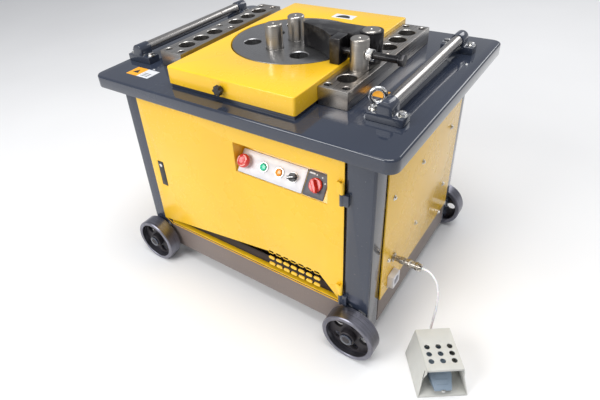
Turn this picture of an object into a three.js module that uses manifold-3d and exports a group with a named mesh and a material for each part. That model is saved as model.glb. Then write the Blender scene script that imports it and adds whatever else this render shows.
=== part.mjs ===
// Rebar bender: a steel cabinet on four wheels, a bending turntable on its table, a worm drive inside it,
// and a foot pedal on a cable. Millimetres, +Z up, +X to the operator's right, -Y towards the operator.
import * as THREE from 'three';
import { mergeVertices } from 'three/addons/utils/BufferGeometryUtils.js';
import Module from 'manifold-3d';

const wasm = await Module();
wasm.setup();

// ---------------------------------------------------------------- driving dimensions
const GAP = 0.3; // between pieces that touch
const RUN = 0.6; // round a piece that turns or slides
const SIDES = 20; // faces of a round piece

const TABLE = { width: 1000, depth: 792, top: 720, plate: 8, lip: 38, edge: 10, corner: 30 };
const CABINET = { half: 437, front: -347, back: 308 };
const LEG = { width: 81, frontDepth: 68, backDepth: 46, foot: 56, corner: 8, wall: 5 };
const BEAM = { top: 149, thick: 50, wall: 4 };
const SHEET = 3;
const PAN = { foot: 60, thick: 4 };

const SPINDLE = { x: 0, y: -6, radius: 30 };
const PIN = { radius: 25, hole: 26 };
const DISC = { radius: 196, top: TABLE.top + 62, thick: 45, holeDepth: 42, inner: 90, outer: 133, turn: -12 };
const COVER = {
  half: 215.5, front: -345, back: 308, bottom: TABLE.top + 11.3, wall: 4, opening: 200, corner: 8,
};
const PLINTH = { height: 11, inset: 5, wall: 6 };
const KNOB = { x: -17, z: TABLE.top + 35, radius: 15, length: 20, lobes: 6 };

const RAIL = { width: 87, length: 524, height: 50, y: 20, holes: 6, pitch: 66, gap: 112, left: -306 };
const COUNTERBORE = { radius: 10, depth: 12, x: 26, y: 240 };

const ROLLER = {
  radius: 16.5, journal: 10, z: TABLE.top + 37, right: 405, left: -440, front: -213.5, back: 235.5,
};
const BLOCK = { width: 95, depth: 43, foot: 21, arch: 19.5, slot: 31 };

const STOP = {
  y: -106, z: TABLE.top + 96, pinTop: TABLE.top + 135,
  padFrom: 185, padTo: 215, padHalf: 24, padBottom: TABLE.top + 63, padTop: TABLE.top + 133,
};
const SCREW = { radius: 9.7, across: 30, head: 13, headAt: 372, nut: 16, nutAt: 284.7 };
const ARM = {
  top: TABLE.top + 134, rim: TABLE.top + 130, bottom: TABLE.top + 63.5, boss: 32,
  pinTop: TABLE.top + 137, hole: 25.8,
};

const WHEEL = { radius: 82, width: 49, x: 400, rim: 14, web: 10, hub: 24, bore: 12.6, windows: 5, gap: 9 };
const AXLE = { radius: 12, plate: 76, plateThick: 6, washer: 19, washerThick: 4 };

const DOOR = {
  left: -379, right: 355.7, bottom: BEAM.top + 1, top: TABLE.top - 44, front: -351, fold: 18, relief: 5,
};
const HINGE = { x: 352.5, y: -358, radius: 6, upper: [524, 594], lower: [2 * WHEEL.radius - 3, 235] };
const LATCH = { left: -346, right: -320, bottom: 330, top: 427, thick: 7, pocket: 14 };
const VENT = { x: 105, z: 184, columns: 7, rows: 3, pitchX: 27.4, pitchZ: 25.3, length: 19, height: 8 };
const RECESS = { left: 4, right: 307, bottom: 503, top: 601, tilt: 36 };
const PLATE = { left: 8, right: 225, bottom: 2, top: 70, thick: 2 };
const SWITCH_PLATE = { left: 228, right: 292, bottom: 2, top: 72, thick: 3 };
const CONTROLS = { up: 36, stop: 27.5, start: 91, reverse: 143.5, selector: 189.5, main: 260 };
const BUTTON = { cap: 11, bezel: 14.75, bezelHeight: 4, travel: 4, mushroom: 20, knob: 19.5 };

const GEAR = { teeth: 58, module: 5, face: 20, z: 560, thick: 6.2, addendum: 4.5, dedendum: 5.5 };
const WORM = { pitchRadius: 30, length: 88, shoulder: 16, journal: 15, front: -192, back: 240 };
const HOUSING = { wall: 8, room: 4, bottom: 514, top: 606, post: 18 };
const MOTOR = { radius: 98, height: 112, front: -150, back: 150, shaft: 14 };
const PULLEY = { small: 40, ratio: 3, y: 205, width: 26, groove: 6, rim: 5 };
const BELT = { thick: 8 };

const PEDAL = { x: 639, y: -317, turn: 36.2, width: 136, depth: 142, height: 107, base: 5, sheet: 3 };
const HOOD = { lean: 19, frontLean: 10, holes: 3, hole: 7.5, pitchX: 31, pitchY: 22.5, middle: -10.5 };
const TREADLE = { rearWidth: 70, frontWidth: 46, pivotY: 40, pivotZ: 46, pivot: 4, lug: 5, gap: 4 };
const CABLE = { radius: 3.5, sides: 8, steps: 34 };
const GLAND = { y: -207, z: 266, pipe: 8, fitting: 10.5, nose: 461, end: 527 };
const SOCKET = { y: -215, z: 191, size: 45, depth: 20 };
const EYE = { x: 354, y: -184, z: TABLE.top + 30, ring: 19.5, wire: 5.5, turn: 25, stem: 8, collar: 14 };

// The cable's route, chosen by hand, from the gland round and down to the back of the pedal.
const ROUTE = [
  [527.6, -207, 266], [537, -207.5, 266.3], [547, -209, 266], [558, -212, 263], [568.5, -216.5, 257],
  [577, -221, 248], [583.5, -225.5, 236], [587.5, -228.5, 222], [589.8, -230.5, 206], [590.8, -231.2, 189],
  [590.8, -231.2, 171], [590, -230.8, 152], [588.8, -230, 132], [587.5, -229, 112], [586, -227.8, 92],
  [584.8, -226.6, 74], [584.3, -226.3, 60], [585, -228, 46], [587.5, -232.5, 35], [591.5, -238.5, 26.5],
  [597, -246.5, 21.6], [601.2, -252.6, 21],
];

// ---------------------------------------------------------------- looks
const LOOKS = {
  darkPaint: { color: 0x3c4454, roughness: 0.2, metalness: 0 },
  yellowPaint: { color: 0xf4c81e, roughness: 0.35, metalness: 0 },
  greyPaint: { color: 0x7d726c, roughness: 0.5, metalness: 0 },
  ground: { color: 0x9a958e, roughness: 0.35, metalness: 1 },
  blackOxide: { color: 0x24242a, roughness: 0.4, metalness: 1 },
  zinc: { color: 0xc4c6cc, roughness: 0.25, metalness: 1 },
  castIron: { color: 0x55555c, roughness: 0.55, metalness: 1 },
  black: { color: 0x141416, roughness: 0.5, metalness: 0 },
  white: { color: 0xe6e6e2, roughness: 0.4, metalness: 0 },
  red: { color: 0xc81e1e, roughness: 0.3, metalness: 0 },
  green: { color: 0x1f9a4c, roughness: 0.3, metalness: 0 },
  orange: { color: 0xe87420, roughness: 0.3, metalness: 0 },
  hood: { color: 0xdcddd6, roughness: 0.5, metalness: 0 },
  treadle: { color: 0x8796a5, roughness: 0.5, metalness: 0 },
  cable: { color: 0xd8d8d2, roughness: 0.4, metalness: 0 },
  rubber: { color: 0x1a1a1a, roughness: 0.9, metalness: 0 },
};

// ---------------------------------------------------------------- solids
function solidOf(geometry) {
  const bare = geometry.clone();
  bare.deleteAttribute('normal');
  bare.deleteAttribute('uv');
  const merged = mergeVertices(bare, 1e-3);
  const mesh = new wasm.Mesh({
    numProp: 3,
    vertProperties: merged.attributes.position.array,
    triVerts: new Uint32Array(merged.index.array),
  });
  return new wasm.Manifold(mesh);
}

function geometryOf(solid) {
  const { vertProperties, triVerts } = solid.getMesh();
  const geometry = new THREE.BufferGeometry();
  geometry.setAttribute('position', new THREE.BufferAttribute(vertProperties, 3));
  geometry.setIndex(new THREE.BufferAttribute(triVerts, 1));
  const flat = geometry.toNonIndexed();
  flat.computeVertexNormals();
  return flat;
}

const join = (first, ...others) => others.reduce((whole, other) => whole.add(other), first);
const cut = (first, ...others) => others.reduce((whole, other) => whole.subtract(other), first);
const radians = THREE.MathUtils.degToRad;

function block(x0, x1, y0, y1, z0, z1) {
  const geometry = new THREE.BoxGeometry(x1 - x0, y1 - y0, z1 - z0);
  return solidOf(geometry.translate((x0 + x1) / 2, (y0 + y1) / 2, (z0 + z1) / 2));
}

// A rod along an axis; a and b are its place on the other two axes, in X, Y, Z order.
function rod(axis, radius, from, to, a, b, sides = SIDES) {
  const geometry = new THREE.CylinderGeometry(radius, radius, to - from, sides);
  geometry.rotateY(Math.PI / sides);
  const middle = (from + to) / 2;
  if (axis === 'x') return solidOf(geometry.rotateZ(-Math.PI / 2).translate(middle, a, b));
  if (axis === 'y') return solidOf(geometry.translate(a, middle, b));
  return solidOf(geometry.rotateX(Math.PI / 2).translate(a, b, middle));
}

// A closed profile of [radius, height] pairs turned round +Z, with a flat at the front.
function turned(profile, sides = SIDES) {
  const points = profile.map(([r, h]) => new THREE.Vector2(r, h));
  const geometry = new THREE.LatheGeometry(points, sides, Math.PI / sides);
  return solidOf(geometry.rotateX(Math.PI / 2));
}

// An outline in the plan, raised from z0 to z1.
function prism(shape, z0, z1, curveSegments = 6) {
  const settings = { depth: z1 - z0, bevelEnabled: false, curveSegments };
  return solidOf(new THREE.ExtrudeGeometry(shape, settings).translate(0, 0, z0));
}

// An outline in the plane across X, with points (y, z), or across Y, with points (x, z).
function slabAcross(axis, points, from, to) {
  const settings = { depth: to - from, bevelEnabled: false };
  const geometry = new THREE.ExtrudeGeometry(outline(points), settings);
  if (axis === 'x') {
    geometry.applyMatrix4(new THREE.Matrix4().set(0, 0, 1, from, 1, 0, 0, 0, 0, 1, 0, 0, 0, 0, 0, 1));
  } else {
    geometry.applyMatrix4(new THREE.Matrix4().set(1, 0, 0, 0, 0, 0, -1, to, 0, 1, 0, 0, 0, 0, 0, 1));
  }
  return solidOf(geometry);
}

const outline = (points) => new THREE.Shape(points.map(([a, b]) => new THREE.Vector2(a, b)));

function roundedRectangle(x0, x1, y0, y1, r) {
  const shape = new THREE.Shape();
  shape.absarc(x1 - r, y0 + r, r, -Math.PI / 2, 0);
  shape.absarc(x1 - r, y1 - r, r, 0, Math.PI / 2);
  shape.absarc(x0 + r, y1 - r, r, Math.PI / 2, Math.PI);
  shape.absarc(x0 + r, y0 + r, r, Math.PI, Math.PI * 1.5);
  return shape;
}

const column = (x0, x1, y0, y1, z0, z1, r, segments = 3) =>
  prism(roundedRectangle(x0, x1, y0, y1, r), z0, z1, segments);

function sixSided(acrossFlats, from, to, a, b) {
  return rod('x', acrossFlats / Math.sqrt(3), from, to, a, b, 6);
}

const machine = new THREE.Group();

function piece(name, solid, look, parent = machine) {
  const mesh = new THREE.Mesh(geometryOf(solid), new THREE.MeshStandardMaterial(LOOKS[look]));
  mesh.name = name;
  parent.add(mesh);
  return mesh;
}

// ---------------------------------------------------------------- frame and cabinet
const plateUnder = TABLE.top - TABLE.plate;
const lipUnder = TABLE.top - TABLE.lip;
const legSide = CABINET.half - LEG.width;

// A square tube of the base, open at both ends along its own axis.
function beam(x, y, along) {
  const wall = BEAM.wall;
  const shrinkX = along === 'x' ? -1 : wall;
  const shrinkY = along === 'y' ? -1 : wall;
  const tube = block(...x, ...y, LEG.foot, BEAM.top);
  const bore = [x[0] + shrinkX, x[1] - shrinkX, y[0] + shrinkY, y[1] - shrinkY];
  return cut(tube, block(...bore, LEG.foot + wall, BEAM.top - wall));
}

function baseBeams() {
  const { half, front, back } = CABINET;
  const side = legSide - GAP;
  const ends = [front + LEG.frontDepth + GAP, back - LEG.backDepth - GAP];
  piece('base_beam_front', beam([-side, side], [front, front + BEAM.thick], 'x'), 'greyPaint');
  piece('base_beam_rear', beam([-side, side], [back - LEG.backDepth, back], 'x'), 'greyPaint');
  piece('base_beam_left', beam([-half, -half + BEAM.thick], ends, 'y'), 'greyPaint');
  piece('base_beam_right', beam([half - BEAM.thick, half], ends, 'y'), 'greyPaint');
}

function floorPan() {
  const side = CABINET.half - BEAM.thick - GAP;
  const front = CABINET.front + LEG.frontDepth + GAP;
  const back = CABINET.back - LEG.backDepth - GAP;
  const pan = block(-side, side, front, back, PAN.foot, PAN.foot + PAN.thick);
  piece('floor_pan', pan, 'greyPaint');
}

// A leg with its welded axle plate and stub axle; end is -1 for the front legs and 1 for the rear ones.
function leg(name, side, end) {
  const face = end < 0 ? CABINET.front : CABINET.back;
  const depth = end < 0 ? LEG.frontDepth : LEG.backDepth;
  const x = [side * CABINET.half, side * legSide].sort((a, b) => a - b);
  const y = [face, face - end * depth].sort((a, b) => a - b);
  const tube = column(...x, ...y, LEG.foot, plateUnder - GAP, LEG.corner, 2);
  const wall = LEG.wall;
  const bore = block(x[0] + wall, x[1] - wall, y[0] + wall, y[1] - wall, LEG.foot + wall, plateUnder);
  const post = cut(tube, bore);
  const axleX = side * WHEEL.x;
  const plateX = [axleX - AXLE.plate / 2, axleX + AXLE.plate / 2];
  const plateEnd = face + end * AXLE.plateThick;
  const plateY = [face - end, plateEnd].sort((a, b) => a - b);
  const plate = block(...plateX, ...plateY, LEG.foot + 2, LEG.foot + AXLE.plate);
  const hubEnd = wheelFace(end) + end * (WHEEL.width + RUN);
  const tip = hubEnd + end * AXLE.washerThick;
  const reach = [Math.min(face - end, tip), Math.max(face - end, tip)];
  const stub = rod('y', AXLE.radius, ...reach, axleX, WHEEL.radius, 16);
  const washer = rod('y', AXLE.washer, Math.min(hubEnd, tip), Math.max(hubEnd, tip), axleX, WHEEL.radius, 16);
  let whole = join(post, plate, stub, washer);
  if (name === 'leg_front_right') whole = join(whole, ...hingePosts());
  piece(name, whole, 'darkPaint');
}

// Where a wheel's inner face stands.
function wheelFace(end) {
  return end < 0 ? CABINET.front - WHEEL.gap - 1 : CABINET.back + AXLE.plateThick + GAP;
}

function legs() {
  leg('leg_front_left', -1, -1);
  leg('leg_front_right', 1, -1);
  leg('leg_rear_left', -1, 1);
  leg('leg_rear_right', 1, 1);
}

// The lower halves of the door hinges, on leaves welded to the front right leg.
function hingePosts() {
  return [HINGE.upper, HINGE.lower].map(([z0, z1]) => {
    const middle = (z0 + z1) / 2 - GAP;
    const barrel = rod('z', HINGE.radius, z0, middle, HINGE.x, HINGE.y, 16);
    const tongue = block(HINGE.x, legSide + 16, HINGE.y - 2, HINGE.y + 2, z0, middle);
    const leaf = block(legSide + 3, legSide + 16, HINGE.y - 2, CABINET.front + 1, z0, middle);
    return join(barrel, tongue, leaf);
  });
}

function tableTop() {
  const [x, y] = [TABLE.width / 2, TABLE.depth / 2];
  const slab = column(-x, x, -y, y, lipUnder, TABLE.top, TABLE.corner, 5);
  const inside = [-x + TABLE.edge, x - TABLE.edge, -y + TABLE.edge, y - TABLE.edge];
  const under = column(...inside, lipUnder - 1, plateUnder, TABLE.corner - TABLE.edge, 4);
  const shaftHole = rod('z', SPINDLE.radius + 12, plateUnder - 1, TABLE.top + 1, SPINDLE.x, SPINDLE.y);
  const side = COVER.half - PLINTH.inset;
  const ends = [COVER.front + PLINTH.inset, COVER.back - PLINTH.inset];
  const ring = block(-side, side, ...ends, TABLE.top - 1, TABLE.top + PLINTH.height);
  const inner = [-side + PLINTH.wall, side - PLINTH.wall, ends[0] + PLINTH.wall, ends[1] - PLINTH.wall];
  const plinth = cut(ring, block(...inner, TABLE.top - 2, TABLE.top + PLINTH.height + 1));
  piece('table_top', join(cut(slab, under, shaftHole), plinth), 'darkPaint');
}

function sidePanel(name, side) {
  const x = [side * (CABINET.half - 1), side * (CABINET.half + SHEET + 1)].sort((a, b) => a - b);
  const y = [CABINET.front + LEG.frontDepth + GAP, CABINET.back - LEG.backDepth - GAP];
  piece(name, block(...x, ...y, BEAM.top + GAP, lipUnder + 20), 'yellowPaint');
}

function rearPanel() {
  const side = legSide - GAP;
  const sheet = block(-side, side, CABINET.back - SHEET, CABINET.back, BEAM.top + GAP, lipUnder + 20);
  const louvres = [];
  for (let i = 0; i < 6; i++) {
    const z = 260 + i * 30;
    louvres.push(block(-120, 120, CABINET.back - SHEET - 1, CABINET.back + 1, z, z + 8));
  }
  piece('rear_panel', cut(sheet, ...louvres), 'yellowPaint');
}

// ---------------------------------------------------------------- door and controls
const tilt = radians(RECESS.tilt);
const recessDepth = (RECESS.top - RECESS.bottom) * Math.tan(tilt);
const controls = new THREE.Group();
controls.position.set(0, DOOR.front + SHEET, RECESS.bottom);
controls.rotation.x = Math.PI / 2 - tilt;
controls.updateMatrix();
machine.add(controls);

// A solid made in the control panel's own frame, brought to the machine's frame.
function fromControls(geometry) {
  return solidOf(geometry.applyMatrix4(controls.matrix));
}

function doorSkin() {
  const { left, right, bottom, top, front, fold } = DOOR;
  const skin = block(left, right, front, front + SHEET, bottom, top);
  const inside = [12 - legSide, legSide - 12];
  const ring = block(inside[0], inside[1], front + 1, front + fold, bottom + 6, top - 6);
  const window = block(inside[0] + SHEET, inside[1] - SHEET, front, front + fold + 1, bottom + 9, top - 9);
  return join(skin, cut(ring, window));
}

function recessBox() {
  const { left, right, bottom, top } = RECESS;
  const back = DOOR.front + SHEET + recessDepth;
  const shell = [
    [DOOR.front + 1, bottom - SHEET], [DOOR.front + SHEET + 3, bottom - SHEET],
    [back + SHEET, top], [back + SHEET, top + SHEET], [DOOR.front + 1, top + SHEET],
  ];
  return slabAcross('x', shell, left - SHEET, right + SHEET);
}

function recessRoom() {
  const { left, right, bottom, top } = RECESS;
  const back = DOOR.front + SHEET + recessDepth;
  const room = [[DOOR.front - 1, bottom], [DOOR.front + SHEET, bottom], [back, top], [DOOR.front - 1, top]];
  return slabAcross('x', room, left, right);
}

function ventHoles() {
  const holes = [];
  const arc = VENT.height / 2;
  for (let row = 0; row < VENT.rows; row++) {
    for (let col = 0; col < VENT.columns; col++) {
      const x = VENT.x + col * VENT.pitchX;
      const z = VENT.z + row * VENT.pitchZ;
      const half = VENT.length / 2 - arc;
      const slot = new THREE.Shape();
      slot.absarc(x + half, z, arc, -Math.PI / 2, Math.PI / 2);
      slot.absarc(x - half, z, arc, Math.PI / 2, Math.PI * 1.5);
      const settings = { depth: SHEET + 2, bevelEnabled: false, curveSegments: 2 };
      const geometry = new THREE.ExtrudeGeometry(slot, settings);
      holes.push(solidOf(geometry.rotateX(Math.PI / 2).translate(0, DOOR.front + SHEET + 1, 0)));
    }
  }
  return holes;
}

function stemHoles() {
  const places = [CONTROLS.stop, CONTROLS.start, CONTROLS.reverse, CONTROLS.selector, CONTROLS.main];
  return places.map((x) => {
    const drill = new THREE.CylinderGeometry(BUTTON.cap + RUN, BUTTON.cap + RUN, 24, 12);
    return fromControls(drill.rotateX(Math.PI / 2).translate(x, CONTROLS.up, 0));
  });
}

function doorKnuckles() {
  return [HINGE.upper, HINGE.lower].map(([z0, z1]) => {
    const middle = (z0 + z1) / 2 + GAP;
    const barrel = rod('z', HINGE.radius, middle, z1, HINGE.x, HINGE.y, 16);
    const tongue = block(HINGE.x - 14, HINGE.x, HINGE.y - 2, HINGE.y + 2, middle, z1);
    const leaf = block(HINGE.x - 14, HINGE.x - 5, HINGE.y - 2, DOOR.front + 1, middle, z1);
    return join(barrel, tongue, leaf);
  });
}

function latchPocket() {
  const { left, right, bottom, top, pocket } = LATCH;
  const back = DOOR.front + pocket;
  const box = block(left - 3, right + 3, DOOR.front + 1, back + 2, bottom - 3, top + 3);
  const room = block(left, right, DOOR.front - 1, back, bottom, top);
  return { box, room };
}

// The lower left corner is rounded off, so that the door swings out over the wheel in front of it.
function wheelRelief() {
  const radius = WHEEL.radius + DOOR.relief;
  return rod('y', radius, DOOR.front - 1, DOOR.front + DOOR.fold + 1, -WHEEL.x, WHEEL.radius);
}

function door() {
  const pocket = latchPocket();
  const whole = join(doorSkin(), recessBox(), pocket.box, ...doorKnuckles());
  const cuts = [recessRoom(), pocket.room, wheelRelief(), ...ventHoles(), ...stemHoles()];
  piece('door', cut(whole, ...cuts), 'yellowPaint');
}

function controlPlates() {
  const bezel = (x) => rod('z', BUTTON.bezel, 0, PLATE.thick + BUTTON.bezelHeight, x, CONTROLS.up, 16);
  const through = PLATE.thick + BUTTON.bezelHeight + 1;
  const hole = (x) => rod('z', BUTTON.cap + RUN, -1, through, x, CONTROLS.up, 12);
  const places = [CONTROLS.stop, CONTROLS.start, CONTROLS.reverse, CONTROLS.selector];
  const sheet = block(PLATE.left, PLATE.right, PLATE.bottom, PLATE.top, GAP, PLATE.thick);
  const plate = cut(join(sheet, ...places.map(bezel)), block(0, PLATE.right, 0, PLATE.top, -1, GAP));
  piece('control_plate', cut(plate, ...places.map(hole)), 'white', controls);
  const { left, right, bottom, top, thick } = SWITCH_PLATE;
  const dark = block(left, right, bottom, top, GAP, thick);
  piece('switch_plate', cut(dark, hole(CONTROLS.main)), 'black', controls);
}

// A push button's cap and stem, its foot at the plate, in the control panel's frame.
function button(name, x, look, profile) {
  const mesh = piece(name, turned(profile), look, controls);
  mesh.position.set(x, CONTROLS.up, 0);
  return mesh;
}

function pushButtons() {
  const stem = BUTTON.cap - 0.4;
  const rest = PLATE.thick + BUTTON.bezelHeight;
  const head = rest + BUTTON.travel + 1;
  const mushroom = [
    [0, -10], [stem, -10], [stem, head], [BUTTON.mushroom - 3, head], [BUTTON.mushroom, head + 4],
    [BUTTON.mushroom, head + 9], [BUTTON.mushroom - 3, head + 12], [0, head + 14],
  ];
  button('e_stop', CONTROLS.stop, 'red', mushroom);
  const cap = [[0, -10], [stem, -10], [stem, rest + BUTTON.travel - 1], [stem - 2, rest + BUTTON.travel + 1],
    [0, rest + BUTTON.travel + 1]];
  button('start_button', CONTROLS.start, 'green', cap);
  button('reverse_button', CONTROLS.reverse, 'orange', cap);
}

function turnKnobs() {
  const rest = PLATE.thick + BUTTON.bezelHeight;
  const stem = BUTTON.cap - 0.4;
  const neck = turned([[0, -10], [stem, -10], [stem, rest + 3], [0, rest + 3]]);
  const lever = block(-4, 4, -12.5, 12.5, rest + 1, rest + 15);
  const selector = piece('selector_knob', join(neck, lever), 'black', controls);
  selector.position.set(CONTROLS.selector, CONTROLS.up, 0);
  const base = SWITCH_PLATE.thick + RUN;
  const collar = turned([
    [0, -10], [stem, -10], [stem, base], [BUTTON.knob, base],
    [BUTTON.knob, base + 6], [BUTTON.knob - 4, base + 9],
    [0, base + 9],
  ]);
  const handle = block(-6, 6, -BUTTON.knob + 1, BUTTON.knob - 1, base + 5, base + 21);
  const main = piece('main_switch', join(collar, handle), 'red', controls);
  main.position.set(CONTROLS.main, CONTROLS.up, 0);
  main.rotation.z = radians(-40);
}

function doorLatch() {
  const { left, right, bottom, top, thick } = LATCH;
  const face = DOOR.front - 1;
  const paddle = block(left + RUN, right - RUN, face, face + thick, bottom + RUN, top - thick / 2 - 1);
  const pivot = rod('x', thick / 2, left + RUN, right - RUN, face + thick / 2, top - thick / 2 - 1, 12);
  piece('door_latch', join(paddle, pivot), 'black');
}

// ---------------------------------------------------------------- table: cover, turntable, rails
function turntableCover() {
  const { half, front, back, bottom, wall, corner } = COVER;
  const box = column(-half, half, front, back, bottom, DISC.top, corner);
  const hollow = column(-half + wall, half - wall, front + wall, back - wall, bottom - 1, DISC.top - wall, 4);
  const opening = rod('z', COVER.opening, DISC.top - wall - 1, DISC.top + 1, SPINDLE.x, SPINDLE.y, 40);
  const knobHole = rod('y', 4 + RUN, front - 1, front + wall + 1, KNOB.x, KNOB.z, 12);
  piece('turntable_cover', cut(box, hollow, opening, knobHole), 'yellowPaint');
}

function coverKnob() {
  const head = rod('y', KNOB.radius - 3, COVER.front - KNOB.length, COVER.front - 4, KNOB.x, KNOB.z, 12);
  const lobes = [];
  for (let i = 0; i < KNOB.lobes; i++) {
    const angle = (i * 2 * Math.PI) / KNOB.lobes;
    const x = KNOB.x + (KNOB.radius - 4) * Math.cos(angle);
    const z = KNOB.z + (KNOB.radius - 4) * Math.sin(angle);
    lobes.push(rod('y', 4, COVER.front - KNOB.length + 2, COVER.front - 5, x, z, 8));
  }
  const neck = rod('y', 8, COVER.front - 5, COVER.front - RUN, KNOB.x, KNOB.z, 12);
  const stud = rod('y', 4, COVER.front - 2, COVER.front + 16, KNOB.x, KNOB.z, 12);
  piece('cover_knob', join(head, ...lobes, neck, stud), 'black');
}

// The places of the pin holes of one ring of the turntable.
function ringHoles(radius, firstDegrees) {
  return [0, 1, 2, 3].map((i) => {
    const angle = radians(firstDegrees + i * 90);
    return [SPINDLE.x + radius * Math.cos(angle), SPINDLE.y + radius * Math.sin(angle)];
  });
}

const innerHoles = ringHoles(DISC.inner, DISC.turn - 90);
const outerHoles = ringHoles(DISC.outer, DISC.turn - 132);

function turntable() {
  const bottom = DISC.top - DISC.thick;
  const plate = rod('z', DISC.radius, bottom, DISC.top, SPINDLE.x, SPINDLE.y, 40);
  const floor = DISC.top - DISC.holeDepth;
  const places = [[SPINDLE.x, SPINDLE.y], ...innerHoles, ...outerHoles];
  const holes = places.map(([x, y]) => rod('z', PIN.hole, floor, DISC.top + 1, x, y));
  const shaft = rod('z', SPINDLE.radius, HOUSING.bottom + 2, bottom + 1, SPINDLE.x, SPINDLE.y);
  piece('turntable_disc', join(cut(plate, ...holes), shaft), 'ground');
}

// A loose pin: a round bar with chamfered ends, standing in a hole.
function pinProfile(radius, bottom, top) {
  return [
    [0, bottom], [radius - 2, bottom], [radius, bottom + 2],
    [radius, top - 3], [radius - 3, top], [0, top],
  ];
}

function pin(name, [x, y], top, bottom, radius = PIN.radius) {
  const mesh = piece(name, turned(pinProfile(radius, bottom, top)), 'ground');
  mesh.position.set(x, y, 0);
}

function turntablePins() {
  const floor = DISC.top - DISC.holeDepth + GAP;
  pin('centre_pin', [SPINDLE.x, SPINDLE.y], DISC.top + 71, floor);
  pin('bending_pin', innerHoles[0], DISC.top + 71, floor);
}

// The right rail stands against the cover.
const railRight = COVER.half + GAP + RAIL.width / 2;

// Three holes on each side of a wider gap in the middle, numbered from the front.
function railHoleY(i) {
  const far = RAIL.holes / 2;
  const steps = i < far ? i - far + 1 : i - far;
  const side = i < far ? -1 : 1;
  return RAIL.y + side * RAIL.gap / 2 + steps * RAIL.pitch;
}

function rail(name, x) {
  const half = RAIL.width / 2;
  const z = [TABLE.top + GAP, TABLE.top + RAIL.height];
  const bar = block(x - half, x + half, RAIL.y - RAIL.length / 2, RAIL.y + RAIL.length / 2, ...z);
  const cuts = [];
  for (let i = 0; i < RAIL.holes; i++) cuts.push(rod('z', PIN.hole, z[0] - 1, z[1] + 1, x, railHoleY(i)));
  for (const side of [-1, 1]) {
    for (const end of [-1, 0, 1]) {
      const place = [x + side * COUNTERBORE.x, RAIL.y + end * COUNTERBORE.y];
      cuts.push(rod('z', COUNTERBORE.radius, z[1] - COUNTERBORE.depth, z[1] + 1, ...place, 10));
    }
  }
  piece(name, cut(bar, ...cuts), 'ground');
}

// ---------------------------------------------------------------- stop and bending arm
function stopPin() {
  const bottom = TABLE.top + 2 * GAP;
  const bar = turned(pinProfile(PIN.radius, bottom, STOP.pinTop));
  const reach = PIN.radius + 1;
  const across = rod('x', SCREW.radius + RUN, -reach, reach, STOP.y - railHoleY(1), STOP.z, 16);
  const mesh = piece('stop_pin', cut(bar, across), 'ground');
  mesh.position.set(railRight, railHoleY(1), 0);
}

function stopPad() {
  const y = [STOP.y - STOP.padHalf, STOP.y + STOP.padHalf];
  const pad = block(STOP.padFrom, STOP.padTo, ...y, STOP.padBottom, STOP.padTop);
  const socket = rod('x', SCREW.radius + RUN, STOP.padTo - 14, STOP.padTo + 1, STOP.y, STOP.z, 16);
  piece('stop_pad', cut(pad, socket), 'blackOxide');
}

function stopBolt() {
  const tip = STOP.padTo - 13;
  const shank = rod('x', SCREW.radius, tip, SCREW.headAt + 1, STOP.y, STOP.z, 16);
  const head = sixSided(SCREW.across, SCREW.headAt, SCREW.headAt + SCREW.head, STOP.y, STOP.z);
  piece('stop_bolt', join(shank, head), 'blackOxide');
  const nut = sixSided(SCREW.across, SCREW.nutAt, SCREW.nutAt + SCREW.nut, STOP.y, STOP.z);
  const span = [SCREW.nutAt - 1, SCREW.nutAt + SCREW.nut + 1];
  const thread = rod('x', SCREW.radius + RUN, ...span, STOP.y, STOP.z, 16);
  piece('lock_nut', cut(nut, thread), 'zinc');
}

function armOutline() {
  const shape = new THREE.Shape();
  const [px, py] = [railRight, railHoleY(2)];
  shape.moveTo(47, -34);
  shape.quadraticCurveTo(46, -43, 56, -45);
  shape.absarc(0, -296, 257, radians(77.4), radians(49), true);
  shape.quadraticCurveTo(176, -110, 180, -103);
  shape.lineTo(184, -76);
  shape.lineTo(px - 18, py - 30);
  shape.lineTo(px, py - ARM.boss);
  shape.absarc(px, py, ARM.boss, -Math.PI / 2, Math.PI / 2);
  shape.lineTo(px - 14, py + 32);
  shape.lineTo(160, -2);
  shape.lineTo(116, -7);
  shape.lineTo(60, -11);
  shape.quadraticCurveTo(48, -20, 47, -34);
  return shape;
}

function bendingArm() {
  const [px, py] = [railRight, railHoleY(2)];
  const body = prism(armOutline(), ARM.bottom, ARM.rim, 10);
  const boss = rod('z', ARM.boss, TABLE.top + RAIL.height + GAP, ARM.top, px, py);
  const bore = rod('z', ARM.hole, TABLE.top, ARM.top + 1, px, py);
  piece('bending_arm', cut(join(body, boss), bore), 'blackOxide');
  pin('arm_pin', [px, py], ARM.pinTop, TABLE.top + 2 * GAP);
}

// ---------------------------------------------------------------- rollers and their bearing blocks
function roller(name, x) {
  const barrel = rod('y', ROLLER.radius, ROLLER.front, ROLLER.back, x, ROLLER.z);
  const reach = BLOCK.slot - 2;
  const spindle = rod('y', ROLLER.journal, ROLLER.front - reach, ROLLER.back + reach, x, ROLLER.z, 16);
  piece(name, join(barrel, spindle), 'ground');
}

// end is -1 for the block at the front end of a roller and 1 for the one at its rear end.
function bearingBlock(name, x, end) {
  const inner = end < 0 ? ROLLER.front - 1.5 : ROLLER.back + 1.5;
  const outer = inner + end * BLOCK.depth;
  const y = [Math.min(inner, outer), Math.max(inner, outer)];
  const foot = TABLE.top + GAP;
  const flange = block(x - BLOCK.width / 2, x + BLOCK.width / 2, ...y, foot, foot + BLOCK.foot);
  const pillar = block(x - BLOCK.arch, x + BLOCK.arch, ...y, foot, ROLLER.z);
  const arch = rod('y', BLOCK.arch, ...y, x, ROLLER.z, 20);
  const bore = [inner - end, inner + end * BLOCK.slot].sort((a, b) => a - b);
  const hole = rod('y', ROLLER.journal + RUN, ...bore, x, ROLLER.z, 16);
  piece(name, cut(join(flange, pillar, arch), hole), 'darkPaint');
}

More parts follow.
